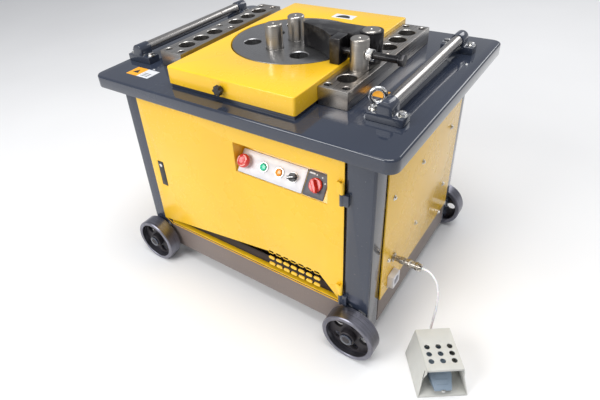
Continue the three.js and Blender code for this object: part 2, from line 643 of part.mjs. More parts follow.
function rollers() {
  for (const [side, x] of [['left', ROLLER.left], ['right', ROLLER.right]]) {
    roller(`roller_${side}`, x);
    bearingBlock(`bearing_block_front_${side}`, x, -1);
    bearingBlock(`bearing_block_rear_${side}`, x, 1);
  }
}

function eyeBolt() {
  const ring = new THREE.TorusGeometry(EYE.ring, EYE.wire, 6, 16);
  ring.rotateX(Math.PI / 2).rotateZ(radians(EYE.turn)).translate(0, 0, EYE.z);
  const foot = TABLE.top + GAP;
  const stem = rod('z', EYE.stem, foot, EYE.z - EYE.ring, 0, 0, 12);
  const collar = rod('z', EYE.collar, foot, foot + 6, 0, 0, 16);
  const mesh = piece('eye_bolt', join(solidOf(ring), stem, collar), 'castIron');
  mesh.position.set(EYE.x, EYE.y, 0);
}

// ---------------------------------------------------------------- wheels
function wheelSolid() {
  const r = WHEEL.radius / Math.cos(Math.PI / SIDES);
  const rim = WHEEL.radius - WHEEL.rim;
  const web = [(WHEEL.width - WHEEL.web) / 2, (WHEEL.width + WHEEL.web) / 2];
  const profile = [
    [WHEEL.bore, 0], [WHEEL.hub, 0], [WHEEL.hub, web[0]], [rim, web[0]], [rim, 0], [r, 0], [r, WHEEL.width],
    [rim, WHEEL.width], [rim, web[1]], [WHEEL.hub, web[1]],
    [WHEEL.hub, WHEEL.width], [WHEEL.bore, WHEEL.width],
    [WHEEL.bore, 0],
  ];
  const windowAt = (WHEEL.hub + rim) / 2;
  const windows = [];
  for (let i = 0; i < WHEEL.windows; i++) {
    const angle = (i * 2 * Math.PI) / WHEEL.windows;
    const place = [windowAt * Math.cos(angle), windowAt * Math.sin(angle)];
    windows.push(rod('z', (rim - WHEEL.hub) / 2 - 7, web[0] - 1, web[1] + 1, ...place, 8));
  }
  return cut(turned(profile), ...windows);
}

function wheels() {
  const solid = wheelSolid();
  for (const [end, where] of [[-1, 'front'], [1, 'rear']]) {
    for (const [side, hand] of [[-1, 'left'], [1, 'right']]) {
      const mesh = piece(`wheel_${where}_${hand}`, solid, 'castIron');
      mesh.rotation.x = (-end * Math.PI) / 2;
      mesh.position.set(side * WHEEL.x, wheelFace(end), WHEEL.radius);
    }
  }
}

// ---------------------------------------------------------------- drive inside the cabinet
const wheelPitch = (GEAR.teeth * GEAR.module) / 2;
const wormX = SPINDLE.x - wheelPitch - WORM.pitchRadius;
const lead = Math.PI * GEAR.module;
const slope = Math.tan(radians(20));
const flank = { root: GEAR.thick / 2 + GEAR.dedendum * slope, tip: GEAR.thick / 2 - GEAR.addendum * slope };

function wormWheel() {
  const root = wheelPitch - GEAR.dedendum;
  const tip = wheelPitch + GEAR.addendum;
  const points = [];
  for (let i = 0; i < GEAR.teeth; i++) {
    const angle = Math.PI + ((i + 0.5) * 2 * Math.PI) / GEAR.teeth;
    const [c, s] = [Math.cos(angle), Math.sin(angle)];
    const at = (radius, side) => [radius * c - side * s, radius * s + side * c];
    points.push(at(root, -flank.root), at(tip, -flank.tip), at(tip, flank.tip), at(root, flank.root));
  }
  const z = [GEAR.z - GEAR.face / 2, GEAR.z + GEAR.face / 2];
  const teeth = prism(outline(points), ...z);
  const bore = rod('z', SPINDLE.radius + GAP, z[0] - 1, z[1] + 1, 0, 0);
  const mesh = piece('worm_wheel', cut(teeth, bore), 'castIron');
  mesh.position.set(SPINDLE.x, SPINDLE.y, 0);
}

// The thread: its section is carried round the shaft and along it by one lead a turn.
function wormThread() {
  const stepsPerTurn = 12;
  const turns = WORM.length / lead;
  const steps = Math.round(turns * stepsPerTurn);
  const buried = WORM.pitchRadius - 2 * GEAR.dedendum;
  const tip = WORM.pitchRadius + GEAR.addendum;
  const foot = GEAR.thick / 2 + (WORM.pitchRadius - buried) * slope;
  const section = [[buried, -foot], [tip, -flank.tip], [tip, flank.tip], [buried, foot]];
  const count = section.length;
  const position = [];
  const index = [];
  for (let i = 0; i <= steps; i++) {
    const turn = (i / steps - 0.5) * turns;
    const angle = turn * 2 * Math.PI;
    for (const [r, along] of section) {
      position.push(r * Math.cos(angle), turn * lead + along, -r * Math.sin(angle));
    }
  }
  for (let i = 0; i < steps; i++) {
    for (let j = 0; j < count; j++) {
      const [a, b] = [i * count + j, i * count + ((j + 1) % count)];
      index.push(a, a + count, b, b, a + count, b + count);
    }
  }
  for (let j = 1; j < count - 1; j++) {
    const last = steps * count;
    index.push(0, j, j + 1, last, last + j + 1, last + j);
  }
  const geometry = new THREE.BufferGeometry();
  geometry.setAttribute('position', new THREE.Float32BufferAttribute(position, 3));
  geometry.setIndex(index);
  return solidOf(geometry.translate(0, SPINDLE.y, 0));
}

function wormShaft() {
  const half = WORM.length / 2 + WORM.shoulder;
  const core = rod('y', WORM.pitchRadius - GEAR.dedendum, SPINDLE.y - half, SPINDLE.y + half, 0, 0, 12);
  const shaft = rod('y', WORM.journal, WORM.front, WORM.back, 0, 0, 16);
  const mesh = piece('worm_shaft', join(core, shaft, wormThread()), 'castIron');
  mesh.position.set(wormX, 0, GEAR.z);
}

function grooved(radius, bore) {
  const half = PULLEY.width / 2;
  return [
    [bore, -half], [radius, -half], [radius, -half + PULLEY.rim], [radius - 10, -PULLEY.groove],
    [radius - 10, PULLEY.groove], [radius, half - PULLEY.rim], [radius, half], [bore, half], [bore, -half],
  ];
}

function pulleys() {
  const large = turned(grooved(PULLEY.small * PULLEY.ratio, WORM.journal + GAP), 24);
  const driven = piece('driven_pulley', large, 'castIron');
  driven.rotation.x = -Math.PI / 2;
  driven.position.set(wormX, PULLEY.y, GEAR.z);
  const small = turned(grooved(PULLEY.small, MOTOR.shaft - 4));
  const shaft = rod('z', MOTOR.shaft, MOTOR.back - 30 - PULLEY.y, 20, 0, 0, 16);
  const driver = piece('motor_pulley', join(small, shaft), 'castIron');
  driver.rotation.x = -Math.PI / 2;
  driver.position.set(wormX, PULLEY.y, motorZ);
}

const motorZ = PAN.foot + PAN.thick + GAP + MOTOR.height;

// The belt runs in the pulley grooves: straight on both sides, with a half turn round each pulley.
function driveBelt() {
  const large = PULLEY.small * PULLEY.ratio - 10 + RUN;
  const small = PULLEY.small - 10 + RUN;
  const span = GEAR.z - motorZ;
  const lean = Math.asin((large - small) / span);
  const loop = (extra) => {
    const path = new THREE.Shape();
    path.absarc(0, span, large + extra, -lean, Math.PI + lean);
    path.absarc(0, 0, small + extra, Math.PI + lean, 2 * Math.PI - lean);
    return path;
  };
  const settings = { depth: 2 * PULLEY.groove - 2, bevelEnabled: false, curveSegments: 12 };
  const whole = solidOf(new THREE.ExtrudeGeometry(loop(BELT.thick), settings));
  const inner = new THREE.ExtrudeGeometry(loop(0), { ...settings, depth: settings.depth + 2 });
  const middle = solidOf(inner.translate(0, 0, -1));
  const mesh = piece('drive_belt', cut(whole, middle), 'rubber');
  mesh.rotation.x = Math.PI / 2;
  mesh.position.set(wormX, PULLEY.y + settings.depth / 2, motorZ);
}

function gearbox() {
  const reach = wheelPitch + GEAR.addendum + HOUSING.room;
  const x = [wormX - WORM.pitchRadius - GEAR.addendum - HOUSING.room, SPINDLE.x + reach];
  const y = [SPINDLE.y - reach, SPINDLE.y + reach];
  const { wall, bottom, top, post } = HOUSING;
  const box = block(x[0] - wall, x[1] + wall, y[0] - wall, y[1] + wall, bottom, top);
  const room = block(...x, ...y, bottom + wall, top - wall);
  const spindleHole = rod('z', SPINDLE.radius + RUN, bottom - 1, top + 1, SPINDLE.x, SPINDLE.y);
  const wormHole = rod('y', WORM.journal + RUN, y[0] - wall - 1, y[1] + wall + 1, wormX, GEAR.z, 16);
  const posts = [];
  for (const px of [x[0] + post, x[1] - post]) {
    for (const py of [y[0] + post, y[1] - post]) {
      posts.push(rod('z', post, top - 1, plateUnder - GAP, px, py, 12));
    }
  }
  piece('gearbox_housing', cut(join(box, ...posts), room, spindleHole, wormHole), 'castIron');
}

function motor() {
  const pan = PAN.foot + PAN.thick + GAP;
  const barrel = rod('y', MOTOR.radius, MOTOR.front, MOTOR.back, wormX, motorZ);
  const stand = [wormX - MOTOR.radius, wormX + MOTOR.radius];
  const foot = block(...stand, MOTOR.front + 60, MOTOR.back - 60, pan, motorZ - 40);
  const box = block(wormX + 50, wormX + 130, -40, 40, motorZ + 10, motorZ + 70);
  const bore = rod('y', MOTOR.shaft + RUN, MOTOR.back - 32, MOTOR.back + 1, wormX, motorZ, 16);
  piece('motor_body', cut(join(barrel, foot, box), bore), 'castIron');
}

function electricalBox() {
  const x = CABINET.half - 1 - GAP;
  const box = block(x - 110, x, -60, 140, 300, 520);
  const ledge = block(x - 110 - 4, x - 105, -64, 144, 296, 524);
  piece('electrical_box', join(box, ledge), 'hood');
}

// ---------------------------------------------------------------- outside fittings and pedal
const sideFace = CABINET.half + SHEET + 1 + GAP;

function powerSocket() {
  const { y, z, size, depth } = SOCKET;
  const half = size / 2;
  const body = block(sideFace, sideFace + depth, y - half, y + half, z - half, z + half);
  const pocket = rod('x', 15, sideFace + 6, sideFace + depth + 1, y, z, 16);
  piece('power_socket', cut(body, pocket), 'white');
}

function cableGland() {
  const { y, z, pipe, fitting, nose, end } = GLAND;
  const stub = rod('x', pipe, sideFace, nose + 1, y, z, 16);
  const sleeve = rod('x', fitting, nose, end - 8, y, z);
  const nut = rod('x', fitting + 2, end - 9, end, y, z, 12);
  const flange = rod('x', fitting + 4, sideFace, sideFace + 5, y, z, 16);
  piece('cable_gland', join(stub, sleeve, nut, flange), 'zinc');
}

function pedalCable() {
  const route = new THREE.CatmullRomCurve3(ROUTE.map((point) => new THREE.Vector3(...point)));
  const section = new THREE.Shape();
  for (let i = 0; i < CABLE.sides; i++) {
    const angle = (i * 2 * Math.PI) / CABLE.sides;
    const point = [CABLE.radius * Math.cos(angle), CABLE.radius * Math.sin(angle)];
    if (i) section.lineTo(...point);
    else section.moveTo(...point);
  }
  const settings = { steps: CABLE.steps, bevelEnabled: false, extrudePath: route };
  piece('pedal_cable', solidOf(new THREE.ExtrudeGeometry(section, settings)), 'cable');
}

const pedal = new THREE.Group();
pedal.position.set(PEDAL.x, PEDAL.y, 0);
pedal.rotation.z = radians(PEDAL.turn);
machine.add(pedal);

// The hood's outside, or its inside when shrunk by the sheet: a box leaning in at both sides and the front.
function hoodBody(shrink, bottom) {
  const half = PEDAL.width / 2 - shrink;
  const top = PEDAL.height - shrink;
  const sides = [[-half, bottom], [half, bottom], [half - HOOD.lean, top], [-half + HOOD.lean, top]];
  const ends = [-PEDAL.depth / 2 - (shrink ? 30 : 0), PEDAL.depth / 2 - shrink];
  const body = slabAcross('y', sides, ...ends);
  const front = -PEDAL.depth / 2;
  const behind = ends[1] + 1;
  const lean = [
    [front, bottom - 1], [behind, bottom - 1], [behind, top + 1], [front + HOOD.frontLean, top + 1],
  ];
  return shrink ? body : body.intersect(slabAcross('x', lean, -half, half));
}

function pedalHood() {
  const bottom = PEDAL.base + GAP;
  const holes = [];
  for (let row = 0; row < HOOD.holes; row++) {
    for (let col = 0; col < HOOD.holes; col++) {
      const x = (col - 1) * HOOD.pitchX;
      const y = HOOD.middle - (row - 1) * HOOD.pitchY;
      holes.push(rod('z', HOOD.hole, PEDAL.height - 6, PEDAL.height + 1, x, y, 12));
    }
  }
  piece('pedal_hood', cut(hoodBody(0, bottom), hoodBody(PEDAL.sheet, bottom - 1), ...holes), 'hood', pedal);
}

const lugAt = TREADLE.rearWidth / 2 + TREADLE.gap;

function pedalBase() {
  const { width, depth, base } = PEDAL;
  const plate = block(-width / 2, width / 2, -depth / 2, depth / 2, 0, base);
  const lugs = [-1, 1].map((side) => {
    const x = [side * lugAt, side * (lugAt + TREADLE.lug)].sort((a, b) => a - b);
    const lug = block(...x, TREADLE.pivotY - 9, TREADLE.pivotY + 9, base - 1, TREADLE.pivotZ + 9);
    return cut(lug, rod('x', TREADLE.pivot + RUN, x[0] - 1, x[1] + 1, TREADLE.pivotY, TREADLE.pivotZ, 12));
  });
  const micro = block(-14, 14, -18, 16, base - 1, 16);
  piece('pedal_base', join(plate, ...lugs, micro), 'hood', pedal);
}

function pedalTreadle() {
  const side = [[-70, 24], [-70, 31], [-38, 46], [34, 60], [50, 56], [50, 40], [34, 40], [20, 44], [-36, 34]];
  const blade = slabAcross('x', side, -TREADLE.rearWidth / 2, TREADLE.rearWidth / 2);
  const [rear, front] = [TREADLE.rearWidth / 2, TREADLE.frontWidth / 2];
  const plan = outline([[-front, -72], [front, -72], [rear, -20], [rear, 52], [-rear, 52], [-rear, -20]]);
  const reach = lugAt + TREADLE.lug;
  const axle = rod('x', TREADLE.pivot, -reach, reach, TREADLE.pivotY, TREADLE.pivotZ, 12);
  piece('pedal_treadle', join(blade.intersect(prism(plan, 0, 90)), axle), 'treadle', pedal);
}

// ---------------------------------------------------------------- the whole machine
baseBeams();
floorPan();
legs();
tableTop();
sidePanel('side_panel_left', -1);
sidePanel('side_panel_right', 1);
rearPanel();
door();
controlPlates();
pushButtons();
turnKnobs();
doorLatch();
turntableCover();
coverKnob();
turntable();
turntablePins();
rail('rail_left', RAIL.left);
rail('rail_right', railRight);
stopPin();
stopPad();
stopBolt();
bendingArm();
rollers();
eyeBolt();
wheels();
wormWheel();
wormShaft();
pulleys();
driveBelt();
gearbox();
motor();
electricalBox();
powerSocket();
cableGland();
pedalCable();
pedalHood();
pedalBase();
pedalTreadle();

// The origin is on the floor, under the middle of the whole object.
const whole = new THREE.Box3().setFromObject(machine);
const middle = whole.getCenter(new THREE.Vector3());
machine.position.set(-middle.x, -middle.y, 0);

const rebarBender = new THREE.Group();
rebarBender.add(machine);

export default rebarBender;
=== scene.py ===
"""Looks for a wheeled rebar bender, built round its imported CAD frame.

Lengths are millimetres in the machine's own frame: +X to the operator's right, +Y to the back, +Z up, with
zero on the floor under the middle of the table. Each finished mesh is brought to metres in the frame at the
end.
"""

import math

import bmesh
import bpy
from mathutils import Matrix, Vector


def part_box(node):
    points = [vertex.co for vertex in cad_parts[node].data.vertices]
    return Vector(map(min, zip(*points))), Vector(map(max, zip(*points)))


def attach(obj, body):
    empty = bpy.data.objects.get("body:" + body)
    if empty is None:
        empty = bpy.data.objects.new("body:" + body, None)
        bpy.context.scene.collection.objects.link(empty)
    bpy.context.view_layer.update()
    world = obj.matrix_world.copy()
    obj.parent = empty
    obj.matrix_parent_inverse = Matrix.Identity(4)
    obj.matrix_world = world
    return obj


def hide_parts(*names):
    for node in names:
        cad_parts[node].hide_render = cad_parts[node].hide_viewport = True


bl_info = {
    "name": "Rebar Bender Looks",
    "version": (1, 0, 0),
    "blender": (4, 5, 0),
    "location": "3D View > Sidebar > Bender",
    "description": "Builds the finished surfaces of a wheeled rebar bending machine",
    "category": "Object",
}

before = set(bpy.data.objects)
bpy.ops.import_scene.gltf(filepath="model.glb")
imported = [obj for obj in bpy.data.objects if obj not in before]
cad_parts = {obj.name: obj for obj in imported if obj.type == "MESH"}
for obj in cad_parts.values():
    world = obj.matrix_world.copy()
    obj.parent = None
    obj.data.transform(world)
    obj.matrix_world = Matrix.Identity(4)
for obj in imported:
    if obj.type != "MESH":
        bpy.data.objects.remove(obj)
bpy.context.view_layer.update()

MM = 0.001
TABLE_LOW, TABLE_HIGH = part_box("table_top")
HOME = Vector(((TABLE_LOW.x + TABLE_HIGH.x) / 2, (TABLE_LOW.y + TABLE_HIGH.y) / 2, 0))
TAU = 2 * math.pi


def local(node):
    """A CAD node's lowest and highest corners in the machine's frame, in millimetres."""
    low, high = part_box(node)
    return (low - HOME) / MM, (high - HOME) / MM


def middle(node):
    low, high = local(node)
    return (low + high) / 2


# ------------------------------------------------------------------ sizes and colours a user may change
class BenderSizes(bpy.types.PropertyGroup):
    edge: bpy.props.FloatProperty(
        name="Sheet edge", description="Radius of the folded edges of the painted sheet metal", default=4.0,
        min=0.5, max=9.0)
    chamfer: bpy.props.FloatProperty(
        name="Steel chamfer", description="Chamfer on the machined steel blocks", default=1.2,
        min=0.2, max=3.0)
    thread_pitch: bpy.props.FloatProperty(
        name="Thread pitch", description="Pitch of the stop screw", default=2.5, min=1.0, max=4.0)
    round_steps: bpy.props.IntProperty(
        name="Round steps", description="Faces round a turned piece", default=64, min=24, max=128)


class BenderColours(bpy.types.PropertyGroup):
    dark: bpy.props.FloatVectorProperty(
        name="Dark enamel", description="Legs, table and bearing blocks", subtype="COLOR", size=3,
        default=(0.030, 0.038, 0.060), min=0, max=1)
    yellow: bpy.props.FloatVectorProperty(
        name="Yellow enamel", description="Door, panels and turntable cover", subtype="COLOR", size=3,
        default=(0.95, 0.56, 0.018), min=0, max=1)
    # The base's brownish grey is partly the beams' dark paint and partly a painted reflection of a brown
    # floor in their gloss.
    base: bpy.props.FloatVectorProperty(
        name="Base paint with floor reflection", description="Beams of the base", subtype="COLOR", size=3,
        default=(0.20, 0.158, 0.140), min=0, max=1)
    hood: bpy.props.FloatVectorProperty(
        name="Pedal paint", description="Hood of the foot pedal", subtype="COLOR", size=3,
        default=(0.60, 0.60, 0.56), min=0, max=1)


def sizes():
    return bpy.context.scene.bender_sizes


def colours():
    return bpy.context.scene.bender_colours


# ------------------------------------------------------------------ shader maths
class Value:
    """A socket that can be used in arithmetic."""

    def __init__(self, graph, socket):
        self.graph = graph
        self.socket = socket

    def __add__(self, other):
        return self.graph.maths("ADD", self, other)

    def __sub__(self, other):
        return self.graph.maths("SUBTRACT", self, other)

    def __mul__(self, other):
        return self.graph.maths("MULTIPLY", self, other)

    def __rsub__(self, other):
        return self.graph.maths("SUBTRACT", other, self)

    __radd__ = __add__
    __rmul__ = __mul__


class Graph:
    """A material's node tree, with short ways to add to it."""

    def __init__(self, name):
        self.material = bpy.data.materials.new(name)
        self.material.use_nodes = True
        self.tree = self.material.node_tree
        self.shader = self.tree.nodes["Principled BSDF"]

    def node(self, kind, settings=None, inputs=None, output=0):
        made = self.tree.nodes.new(kind)
        for key, value in (settings or {}).items():
            if key == "stops":
                ramp = made.color_ramp
                while len(ramp.elements) < len(value):
                    ramp.elements.new(1.0)
                for element, (place, colour) in zip(ramp.elements, value):
                    element.position = place
                    element.color = (*colour, 1)
            else:
                setattr(made, key, value)
        for key, value in (inputs or {}).items():
            self.feed(made.inputs[key], value)
        return Value(self, made.outputs[output])

    def feed(self, socket, value):
        if isinstance(value, Value):
            self.tree.links.new(value.socket, socket)
        elif socket.type == "RGBA" and len(value) == 3:
            socket.default_value = (*value, 1)
        else:
            socket.default_value = value

    def maths(self, operation, first, second):
        return self.node("ShaderNodeMath", {"operation": operation}, {0: first, 1: second})

    def place(self, scale=(1, 1, 1), shift=(0, 0, 0)):
        """Object coordinates, in metres, stretched by scale."""
        here = self.node("ShaderNodeTexCoord", output=3)
        return self.node("ShaderNodeMapping", {}, {"Vector": here, "Location": shift, "Scale": scale})

    def clouds(self, scale, detail=3.0, stretch=(1, 1, 1), rough=0.55):
        """Noise from 0 to 1."""
        return self.node(
            "ShaderNodeTexNoise", {}, {"Vector": self.place(stretch), "Scale": scale, "Detail": detail,
                                       "Roughness": rough})

    def spread(self, value, low, high, to_low=0.0, to_high=1.0):
        return self.node(
            "ShaderNodeMapRange", {"clamp": True},
            {"Value": value, "From Min": low, "From Max": high, "To Min": to_low, "To Max": to_high})

    def patches(self, scale, detail, low, high):
        """Noise, with what is between low and high stretched to 0 to 1."""
        return self.spread(self.clouds(scale, detail), low, high)

    def mix(self, factor, first, second, blend="MIX"):
        return self.node(
            "ShaderNodeMix", {"data_type": "RGBA", "blend_type": blend},
            {0: factor, 6: first, 7: second}, output=2)

    def finish(self, colour, roughness, metallic=0.0, bump=None, height=0.0002, strength=0.4, **constants):
        self.feed(self.shader.inputs["Base Color"], colour)
        self.feed(self.shader.inputs["Roughness"], roughness)
        self.feed(self.shader.inputs["Metallic"], metallic)
        if bump is not None:
            relief = {"Strength": strength, "Distance": height, "Height": bump}
            normal = self.node("ShaderNodeBump", {}, relief)
            self.feed(self.shader.inputs["Normal"], normal)
        for key, value in constants.items():
            self.shader.inputs[key.replace("_", " ")].default_value = value
        return self.material


def shade(colour, share):
    return tuple(min(1.0, c * share) for c in colour)


# ------------------------------------------------------------------ finishes
def enamel(name, colour, gloss, coat, peel=0.35, dust=0.05):
    """Sprayed enamel: orange peel, a slow drift of tone, a little dust and fine wipe marks."""
    g = Graph(name)
    drift = g.patches(2.2, 2.0, 0.3, 0.7)
    tone = g.mix(drift, shade(colour, 0.90), shade(colour, 1.06))
    specks = g.patches(160.0, 4.0, 0.62, 0.72)
    tone = g.mix(specks * dust, tone, (0.55, 0.52, 0.47))
    wipes = g.clouds(7.0, 3.0)
    rough = gloss + g.spread(wipes, 0.42, 0.75) * 0.07 + specks * 0.15
    peeled = g.clouds(330.0, 1.0)
    return g.finish(tone, rough, bump=peeled, height=0.0001, strength=peel, Coat_Weight=coat,
                    Coat_Roughness=0.06)


def table_enamel():
    """The table's thick gloss coat, with fine scratches where bars have slid over it."""
    g = Graph("table_enamel")
    colour = tuple(colours().dark)
    drift = g.patches(2.0, 2.0, 0.3, 0.7)
    tone = g.mix(drift, shade(colour, 0.85), shade(colour, 1.15))
    scratches = g.spread(g.clouds(30.0, 6.0, (40, 1, 1), 0.7), 0.60, 0.66)
    worn = g.patches(5.0, 2.0, 0.45, 0.65)
    mark = scratches * worn
    tone = g.mix(mark * 0.35, tone, (0.16, 0.18, 0.22))
    rough = 0.07 + g.patches(9.0, 4.0, 0.4, 0.8) * 0.06 + mark * 0.25
    return g.finish(tone, rough, bump=g.clouds(240.0, 1.0), height=0.0001, strength=0.18,
                    Coat_Weight=0.35, Coat_Roughness=0.04)


def ground_steel(name, stretch, tone=(0.44, 0.425, 0.405), stain=0.5):
    """Surface-ground steel: streaks along the grinding, tan oil film and small rust freckles."""
    g = Graph(name)
    streak = g.clouds(1.0, 5.0, stretch, 0.65)
    bright = g.mix(g.spread(streak, 0.35, 0.65), shade(tone, 0.72), shade(tone, 1.28))
    film = g.patches(11.0, 3.0, 0.48, 0.72)
    bright = g.mix(film * stain, bright, (0.36, 0.27, 0.19))
    rust = g.patches(70.0, 6.0, 0.66, 0.74)
    bright = g.mix(rust * stain, bright, (0.17, 0.065, 0.035))
    rough = 0.24 + g.spread(streak, 0.3, 0.7) * 0.16 + rust * 0.3
    metal = 1 - rust * (0.7 * stain)
    return g.finish(bright, rough, metal, bump=streak, height=0.0002, strength=0.25)


def turned_steel(name, centre, tone=(0.36, 0.36, 0.365), gloss=0.24):
    """Steel turned on a lathe: fine rings round a vertical centre line, with bright and dark sweeps."""
    g = Graph(name)
    spot = g.place(shift=(-centre[0], -centre[1], 0))
    flat = g.node("ShaderNodeVectorMath", {"operation": "MULTIPLY"}, {0: spot, 1: (1, 1, 0)})
    reach = g.node("ShaderNodeVectorMath", {"operation": "LENGTH"}, {0: flat}, output=1)
    rings = g.node("ShaderNodeTexNoise", {"noise_dimensions": "1D"}, {"W": reach * 900.0, "Detail": 3.0})
    bands = g.node("ShaderNodeTexNoise", {"noise_dimensions": "1D"}, {"W": reach * 90.0, "Detail": 2.0})
    tone_map = g.mix(g.spread(bands, 0.3, 0.7), shade(tone, 0.8), shade(tone, 1.22))
    smudge = g.patches(14.0, 4.0, 0.45, 0.7)
    tone_map = g.mix(smudge * 0.35, tone_map, shade(tone, 0.62))
    rough = gloss + g.spread(rings, 0.3, 0.7) * 0.12 + smudge * 0.08
    return g.finish(tone_map, rough, 1.0, bump=rings, height=0.0002, strength=0.3)


def bar_steel(name, tone=(0.47, 0.45, 0.42)):
    """A turned bar: faint rings up its length, a warm oil film, dark thumb marks."""
    g = Graph(name)
    rings = g.clouds(1.0, 3.0, (2, 2, 900))
    film = g.patches(16.0, 3.0, 0.4, 0.7)
    base = g.mix(g.spread(rings, 0.35, 0.65), shade(tone, 0.9), shade(tone, 1.1))
    base = g.mix(film * 0.35, base, (0.29, 0.24, 0.19))
    rough = 0.27 + g.spread(rings, 0.3, 0.7) * 0.08 + film * 0.05
    return g.finish(base, rough, 1.0, bump=rings, height=0.00005, strength=0.12)


def roller_steel():
    g = Graph("roller_steel")
    streak = g.clouds(1.0, 4.0, (700, 6, 700))
    base = g.mix(g.spread(streak, 0.3, 0.7), (0.35, 0.335, 0.32), (0.56, 0.54, 0.52))
    spots = g.patches(45.0, 5.0, 0.62, 0.72)
    base = g.mix(spots * 0.35, base, (0.2, 0.13, 0.09))
    return g.finish(base, 0.2 + g.spread(streak, 0.3, 0.7) * 0.12 + spots * 0.2, 1.0, bump=streak,
                    height=0.0001, strength=0.25)


def black_oxide():
    """Blackened forged steel, rubbed brighter in patches and oiled."""
    g = Graph("black_oxide")
    patch = g.patches(26.0, 5.0, 0.5, 0.74)
    base = g.mix(patch, (0.026, 0.025, 0.028), (0.15, 0.145, 0.14))
    grain = g.clouds(420.0, 3.0)
    rough = 0.27 + g.spread(grain, 0.3, 0.7) * 0.14 - patch * 0.06
    return g.finish(base, rough, 0.85, bump=grain, height=0.0002, strength=0.35, Coat_Weight=0.25,
                    Coat_Roughness=0.25)


def zinc_plate():
    g = Graph("zinc_plate")
    hue = g.patches(60.0, 2.0, 0.35, 0.65)
    base = g.mix(hue, (0.66, 0.68, 0.73), (0.78, 0.76, 0.70))
    fine = g.clouds(600.0, 2.0)
    return g.finish(base, 0.16 + fine * 0.12, 1.0, bump=fine, height=0.0001, strength=0.2)


def gland_plate():
    g = Graph("gland_plate")
    patch = g.patches(90.0, 4.0, 0.4, 0.7)
    base = g.mix(patch, (0.34, 0.31, 0.27), (0.56, 0.52, 0.46))
    return g.finish(base, 0.25 + patch * 0.12, 1.0, bump=patch, height=0.0002, strength=0.25)


def cast_iron(name, tone, roughness, metallic, lumps=0.6):
    g = Graph(name)
    cloud = g.clouds(38.0, 5.0)
    base = g.mix(g.spread(cloud, 0.3, 0.7), shade(tone, 0.7), shade(tone, 1.25))
    grain = g.clouds(500.0, 3.0)
    return g.finish(base, roughness + g.spread(grain, 0.3, 0.7) * 0.12, metallic, bump=grain, height=0.0004,
                    strength=lumps)


def wheel_tread():
    """The machined tread and rim faces of a cast wheel."""
    g = Graph("wheel_tread")
    rings = g.clouds(1.0, 4.0, (8, 900, 8))
    base = g.mix(g.spread(rings, 0.35, 0.65), (0.16, 0.16, 0.19), (0.30, 0.30, 0.35))
    film = g.patches(12.0, 4.0, 0.45, 0.7)
    base = g.mix(film * 0.5, base, (0.10, 0.095, 0.11))
    return g.finish(base, 0.26 + g.spread(rings, 0.3, 0.7) * 0.16, 0.95, bump=rings, height=0.0002,
                    strength=0.3)


def plastic(name, colour, roughness, grain=0.2, **constants):
    g = Graph(name)
    drift = g.patches(30.0, 3.0, 0.3, 0.7)
    base = g.mix(drift, shade(colour, 0.93), shade(colour, 1.05))
    fine = g.clouds(900.0, 2.0)
    rough = roughness + g.patches(50.0, 3.0, 0.4, 0.7) * 0.07
    return g.finish(base, rough, bump=fine, height=0.0001, strength=grain, **constants)


def powder_coat(name, colour):
    g = Graph(name)
    drift = g.patches(12.0, 3.0, 0.3, 0.7)
    base = g.mix(drift, shade(colour, 0.94), shade(colour, 1.03))
    grime = g.patches(45.0, 5.0, 0.6, 0.75)
    base = g.mix(grime * 0.12, base, (0.25, 0.23, 0.20))
    fine = g.clouds(520.0, 2.0)
    return g.finish(base, 0.4 + g.spread(fine, 0.3, 0.7) * 0.12, bump=fine, height=0.0002, strength=0.35)


def counterbore_rust():
    g = Graph("counterbore_rust")
    patch = g.patches(110.0, 5.0, 0.4, 0.65)
    base = g.mix(patch, (0.045, 0.028, 0.024), (0.20, 0.075, 0.045))
    return g.finish(base, 0.6 + patch * 0.2, 0.4, bump=patch, height=0.0005, strength=0.6)


def cable_sheath():
    g = Graph("cable_sheath")
    drift = g.patches(60.0, 2.0, 0.3, 0.7)
    base = g.mix(drift, (0.78, 0.78, 0.80), (0.88, 0.88, 0.88))
    return g.finish(base, 0.22 + drift * 0.08, bump=g.clouds(260.0, 2.0), height=0.0001, strength=0.25,
                    Subsurface_Weight=0.25, Subsurface_Scale=0.004, Coat_Weight=0.3)


MATERIALS = {}


